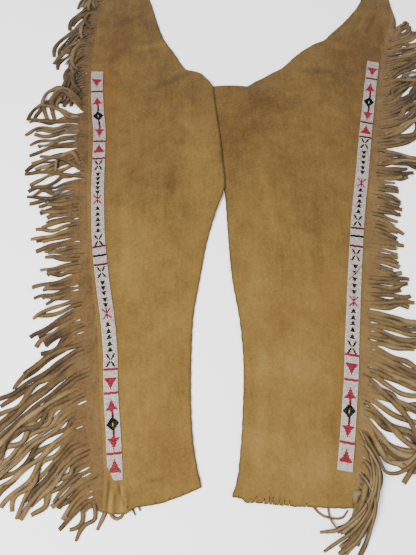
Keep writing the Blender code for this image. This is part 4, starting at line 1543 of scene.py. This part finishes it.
def paint(red, green, blue):
    """A colour given as it looks on a screen, 0 to 255."""
    shares = (np.array([red, green, blue]) / 255).tolist()
    linear = [s / 12.92 if s <= 0.04045 else ((s + 0.055) / 1.055) ** 2.4 for s in shares]
    return (*linear, 1.0)


def new_material(name, roughness, specular):
    material = bpy.data.materials.new(name)
    material.use_nodes = True
    shader = material.node_tree.nodes["Principled BSDF"]
    shader.inputs["Roughness"].default_value = roughness
    shader.inputs["Specular IOR Level"].default_value = specular
    return material, material.node_tree, shader


def speckle(tree, place, scale, detail, stretch=None):
    """Soft random patches, drawn out along the leg if a stretch is given."""
    if stretch:
        place = add_node(tree, "ShaderNodeMapping", {"Vector": place, "Scale": stretch}).outputs[0]
    inputs = {"Vector": place, "Scale": scale, "Detail": detail, "Roughness": 0.6}
    return add_node(tree, "ShaderNodeTexNoise", inputs).outputs["Fac"]


def mixed(tree, factor, first, second):
    """One colour over another."""
    node = add_node(tree, "ShaderNodeMix", data_type="RGBA")
    for index, value in ((0, factor), (6, first), (7, second)):
        if isinstance(value, bpy.types.NodeSocket):
            tree.links.new(value, node.inputs[index])
        else:
            node.inputs[index].default_value = value
    return node.outputs[2]


def scaled(tree, value, factor, offset=0.0, clamp=False):
    inputs = {0: value, 1: factor, 2: offset}
    return add_node(tree, "ShaderNodeMath", inputs, operation="MULTIPLY_ADD", use_clamp=clamp).outputs[0]


def mark(tree, name):
    return add_node(tree, "ShaderNodeAttribute", attribute_name=name).outputs["Fac"]


def buckskin(name, shades, edge_shade_colour, edge_share=0.75):
    """Smoke-tanned suede: mottled, streaked along the leg, napped, and with painted shade at its cut edges, on its
    under faces and along the sides of its strands.
    """
    material, tree, shader = new_material(name, 0.93, 0.15)
    shader.inputs["Sheen Weight"].default_value = 0.12
    shader.inputs["Sheen Roughness"].default_value = 0.5
    place = add_node(tree, "ShaderNodeTexCoord").outputs["Object"]
    value = scaled(tree, mark(tree, "tone"), 0.5, 0.5)
    layers = (
        (speckle(tree, place, 8, 3), 0.42),
        (speckle(tree, place, 38, 4), 0.36),
        (speckle(tree, place, 1.0, 3, (150, 26, 60)), 0.22),
        (speckle(tree, place, 240, 3), 0.46),
        (speckle(tree, place, 900, 2), 0.30),
    )
    for layer, weight in layers:
        centred = scaled(tree, layer, weight, -weight / 2)
        value = add_node(tree, "ShaderNodeMath", {0: value, 1: centred}, operation="ADD").outputs[0]
    ramp = add_node(tree, "ShaderNodeValToRGB", {0: value})
    stops = ramp.color_ramp.elements
    stops[0].position, stops[0].color = 0.08, paint(*shades[0])
    stops[1].position, stops[1].color = 0.95, paint(*shades[2])
    stops.new(0.5).color = paint(*shades[1])
    patchy = scaled(tree, speckle(tree, place, 60, 4), 2.4, -0.7, True)
    rusty = add_node(tree, "ShaderNodeMath", {0: mark(tree, "rust"), 1: patchy}, operation="MULTIPLY")
    spots = scaled(tree, speckle(tree, place, 24, 5), 5.0, -3.1, True)
    spotted = scaled(tree, spots, 0.35)
    rusty = add_node(tree, "ShaderNodeMath", {0: rusty.outputs[0], 1: spotted}, operation="ADD", use_clamp=True)
    colour = mixed(tree, rusty.outputs[0], ramp.outputs[0], paint(*shades[3]))
    # painted shade where the edge mark is set
    painted_edge_shade = scaled(tree, mark(tree, "edge"), edge_share, 0.0, True)
    colour = mixed(tree, painted_edge_shade, colour, paint(*edge_shade_colour))
    tree.links.new(colour, shader.inputs["Base Color"])
    nap = add_node(tree, "ShaderNodeBump", {"Height": speckle(tree, place, 1300, 2), "Distance": 0.0002,
                                            "Strength": 0.5})
    grain = add_node(tree, "ShaderNodeBump", {"Height": speckle(tree, place, 180, 4), "Distance": 0.0006,
                                              "Strength": 0.5, "Normal": nap.outputs[0]})
    tree.links.new(grain.outputs[0], shader.inputs["Normal"])
    return material


def glass(name, colour, pale, specular=0.3):
    """Opaque glass beads, a little uneven in colour from one to the next."""
    material, tree, shader = new_material(name, 0.38, specular)
    tree.links.new(mixed(tree, mark(tree, "tint"), paint(*colour), paint(*pale)), shader.inputs["Base Color"])
    return material


def thread_material(name, colour, other):
    """Waxed thread or coarse cloth, with its twist as fine stripes."""
    material, tree, shader = new_material(name, 0.7, 0.3)
    place = add_node(tree, "ShaderNodeTexCoord").outputs["Object"]
    fine = speckle(tree, place, 1500, 2)
    tree.links.new(mixed(tree, fine, paint(*colour), paint(*other)), shader.inputs["Base Color"])
    bump = add_node(tree, "ShaderNodeBump", {"Height": fine, "Distance": 0.0001, "Strength": 0.6})
    tree.links.new(bump.outputs[0], shader.inputs["Normal"])
    return material


def make_floor():
    """A pale floor under the pair."""
    bpy.ops.mesh.primitive_plane_add(size=8, location=(0, 0, -0.0002))
    floor = bpy.context.object
    floor.name = "floor"
    material, tree, shader = new_material("floor", 0.9, 0.1)
    shader.inputs["Base Color"].default_value = (0.92, 0.92, 0.92, 1.0)
    floor.data.materials.append(material)


def make_lights():
    """Soft light from all round, and a large lamp above that leans from the waist's side."""
    world = bpy.context.scene.world or bpy.data.worlds.new("studio")
    bpy.context.scene.world = world
    world.use_nodes = True
    background = world.node_tree.nodes["Background"]
    background.inputs["Color"].default_value = (1.0, 1.0, 1.0, 1.0)
    background.inputs["Strength"].default_value = 1.3
    for name, place, size, power in (
        ("key", (-1.1, -1.0, 1.6), 0.9, 98),
        ("fill", (0.9, 0.7, 2.2), 2.0, 14),
    ):
        lamp = bpy.data.lights.new(name, "AREA")
        lamp.size = size
        lamp.energy = power
        obj = bpy.data.objects.new(name, lamp)
        obj.location = place
        obj.rotation_euler = (Vector((0, 0, 0)) - Vector(place)).to_track_quat("-Z", "Y").to_euler()
        bpy.context.scene.collection.objects.link(obj)


def make_camera():
    """The camera that the pair was photographed with, above its hems and tilted."""
    camera = bpy.data.cameras.new("camera")
    camera.lens = 36.4
    camera.sensor_width = 36.0
    obj = bpy.data.objects.new("camera", camera)
    obj.location = (-0.038, -0.538, 0.909)
    obj.rotation_euler = (math.radians(21.4), 0, 0)
    bpy.context.scene.collection.objects.link(obj)
    bpy.context.scene.camera = obj


BODY = next(iter(frame["bodies"]))

# the last colour of each leather is its painted shade at cut edges and between strands
hide = buckskin("hide", ((62, 44, 16), (98, 75, 33), (119, 96, 54), (98, 59, 18)), (30, 20, 14))
strands = buckskin("fringe", ((52, 40, 23), (98, 79, 47), (133, 111, 77), (98, 64, 27)), (16, 10, 8), 1.0)
strap = buckskin("strap", ((70, 52, 26), (104, 82, 44), (130, 106, 68), (106, 68, 28)), (54, 36, 24))
thread = thread_material("thread", (98, 76, 46), (120, 96, 62))
canvas = thread_material("backing", (118, 110, 100), (146, 138, 128))
GLASS = [
    glass("white_glass", (126, 116, 112), (182, 170, 165)),
    glass("red_glass", (106, 0, 20), (128, 2, 32)),
    glass("dark_red_glass", (58, 0, 16), (84, 2, 28), 0.2),
    glass("black_glass", (1, 2, 2), (6, 9, 8), 0.06),
    glass("yellow_glass", (158, 130, 34), (176, 152, 56)),
]

for leg in LEGS.values():
    leg["rows"], leg["crotch"] = leg_rows(leg, *FRONT_GRID[:3])
    leg["seam_y"] = np.linspace(leg["rows"][0, 3], leg["top"], 400)
    leg["seam_slope"] = np.gradient(seam_edge(leg, leg["seam_y"]), leg["seam_y"])

field = np.zeros(FIELD_SIZE)
for side, leg in LEGS.items():
    back, area = hide_panel(f"{side}_back_hide", leg, BACK_GRID, False, hide)
    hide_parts(f"{side}_leg_back")
    front, area = hide_panel(f"{side}_front_hide", leg, FRONT_GRID, True, hide)
    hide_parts(f"{side}_leg_front")
    strip = backing(f"{side}_bead_backing", leg, canvas)
    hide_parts(f"{side}_beaded_strip")
    beadwork = beads(side, leg, GLASS)
    strands_piece = fringe(f"{side}_fringe_strands", leg, field, strands)
    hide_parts(f"{side}_fringe")
    sewing = [strip_stitches(f"{side}_strip_stitches", leg, thread),
              seam_stitches(f"{side}_seam_stitches", leg, thread)]
    if side == "left":
        sewing.append(loose_thread(f"{side}_loose_thread", leg, thread))
    loop = belt_loop(side, leg, strap, thread)
    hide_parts(f"{side}_belt_loop")

make_floor()
make_lights()
make_camera()
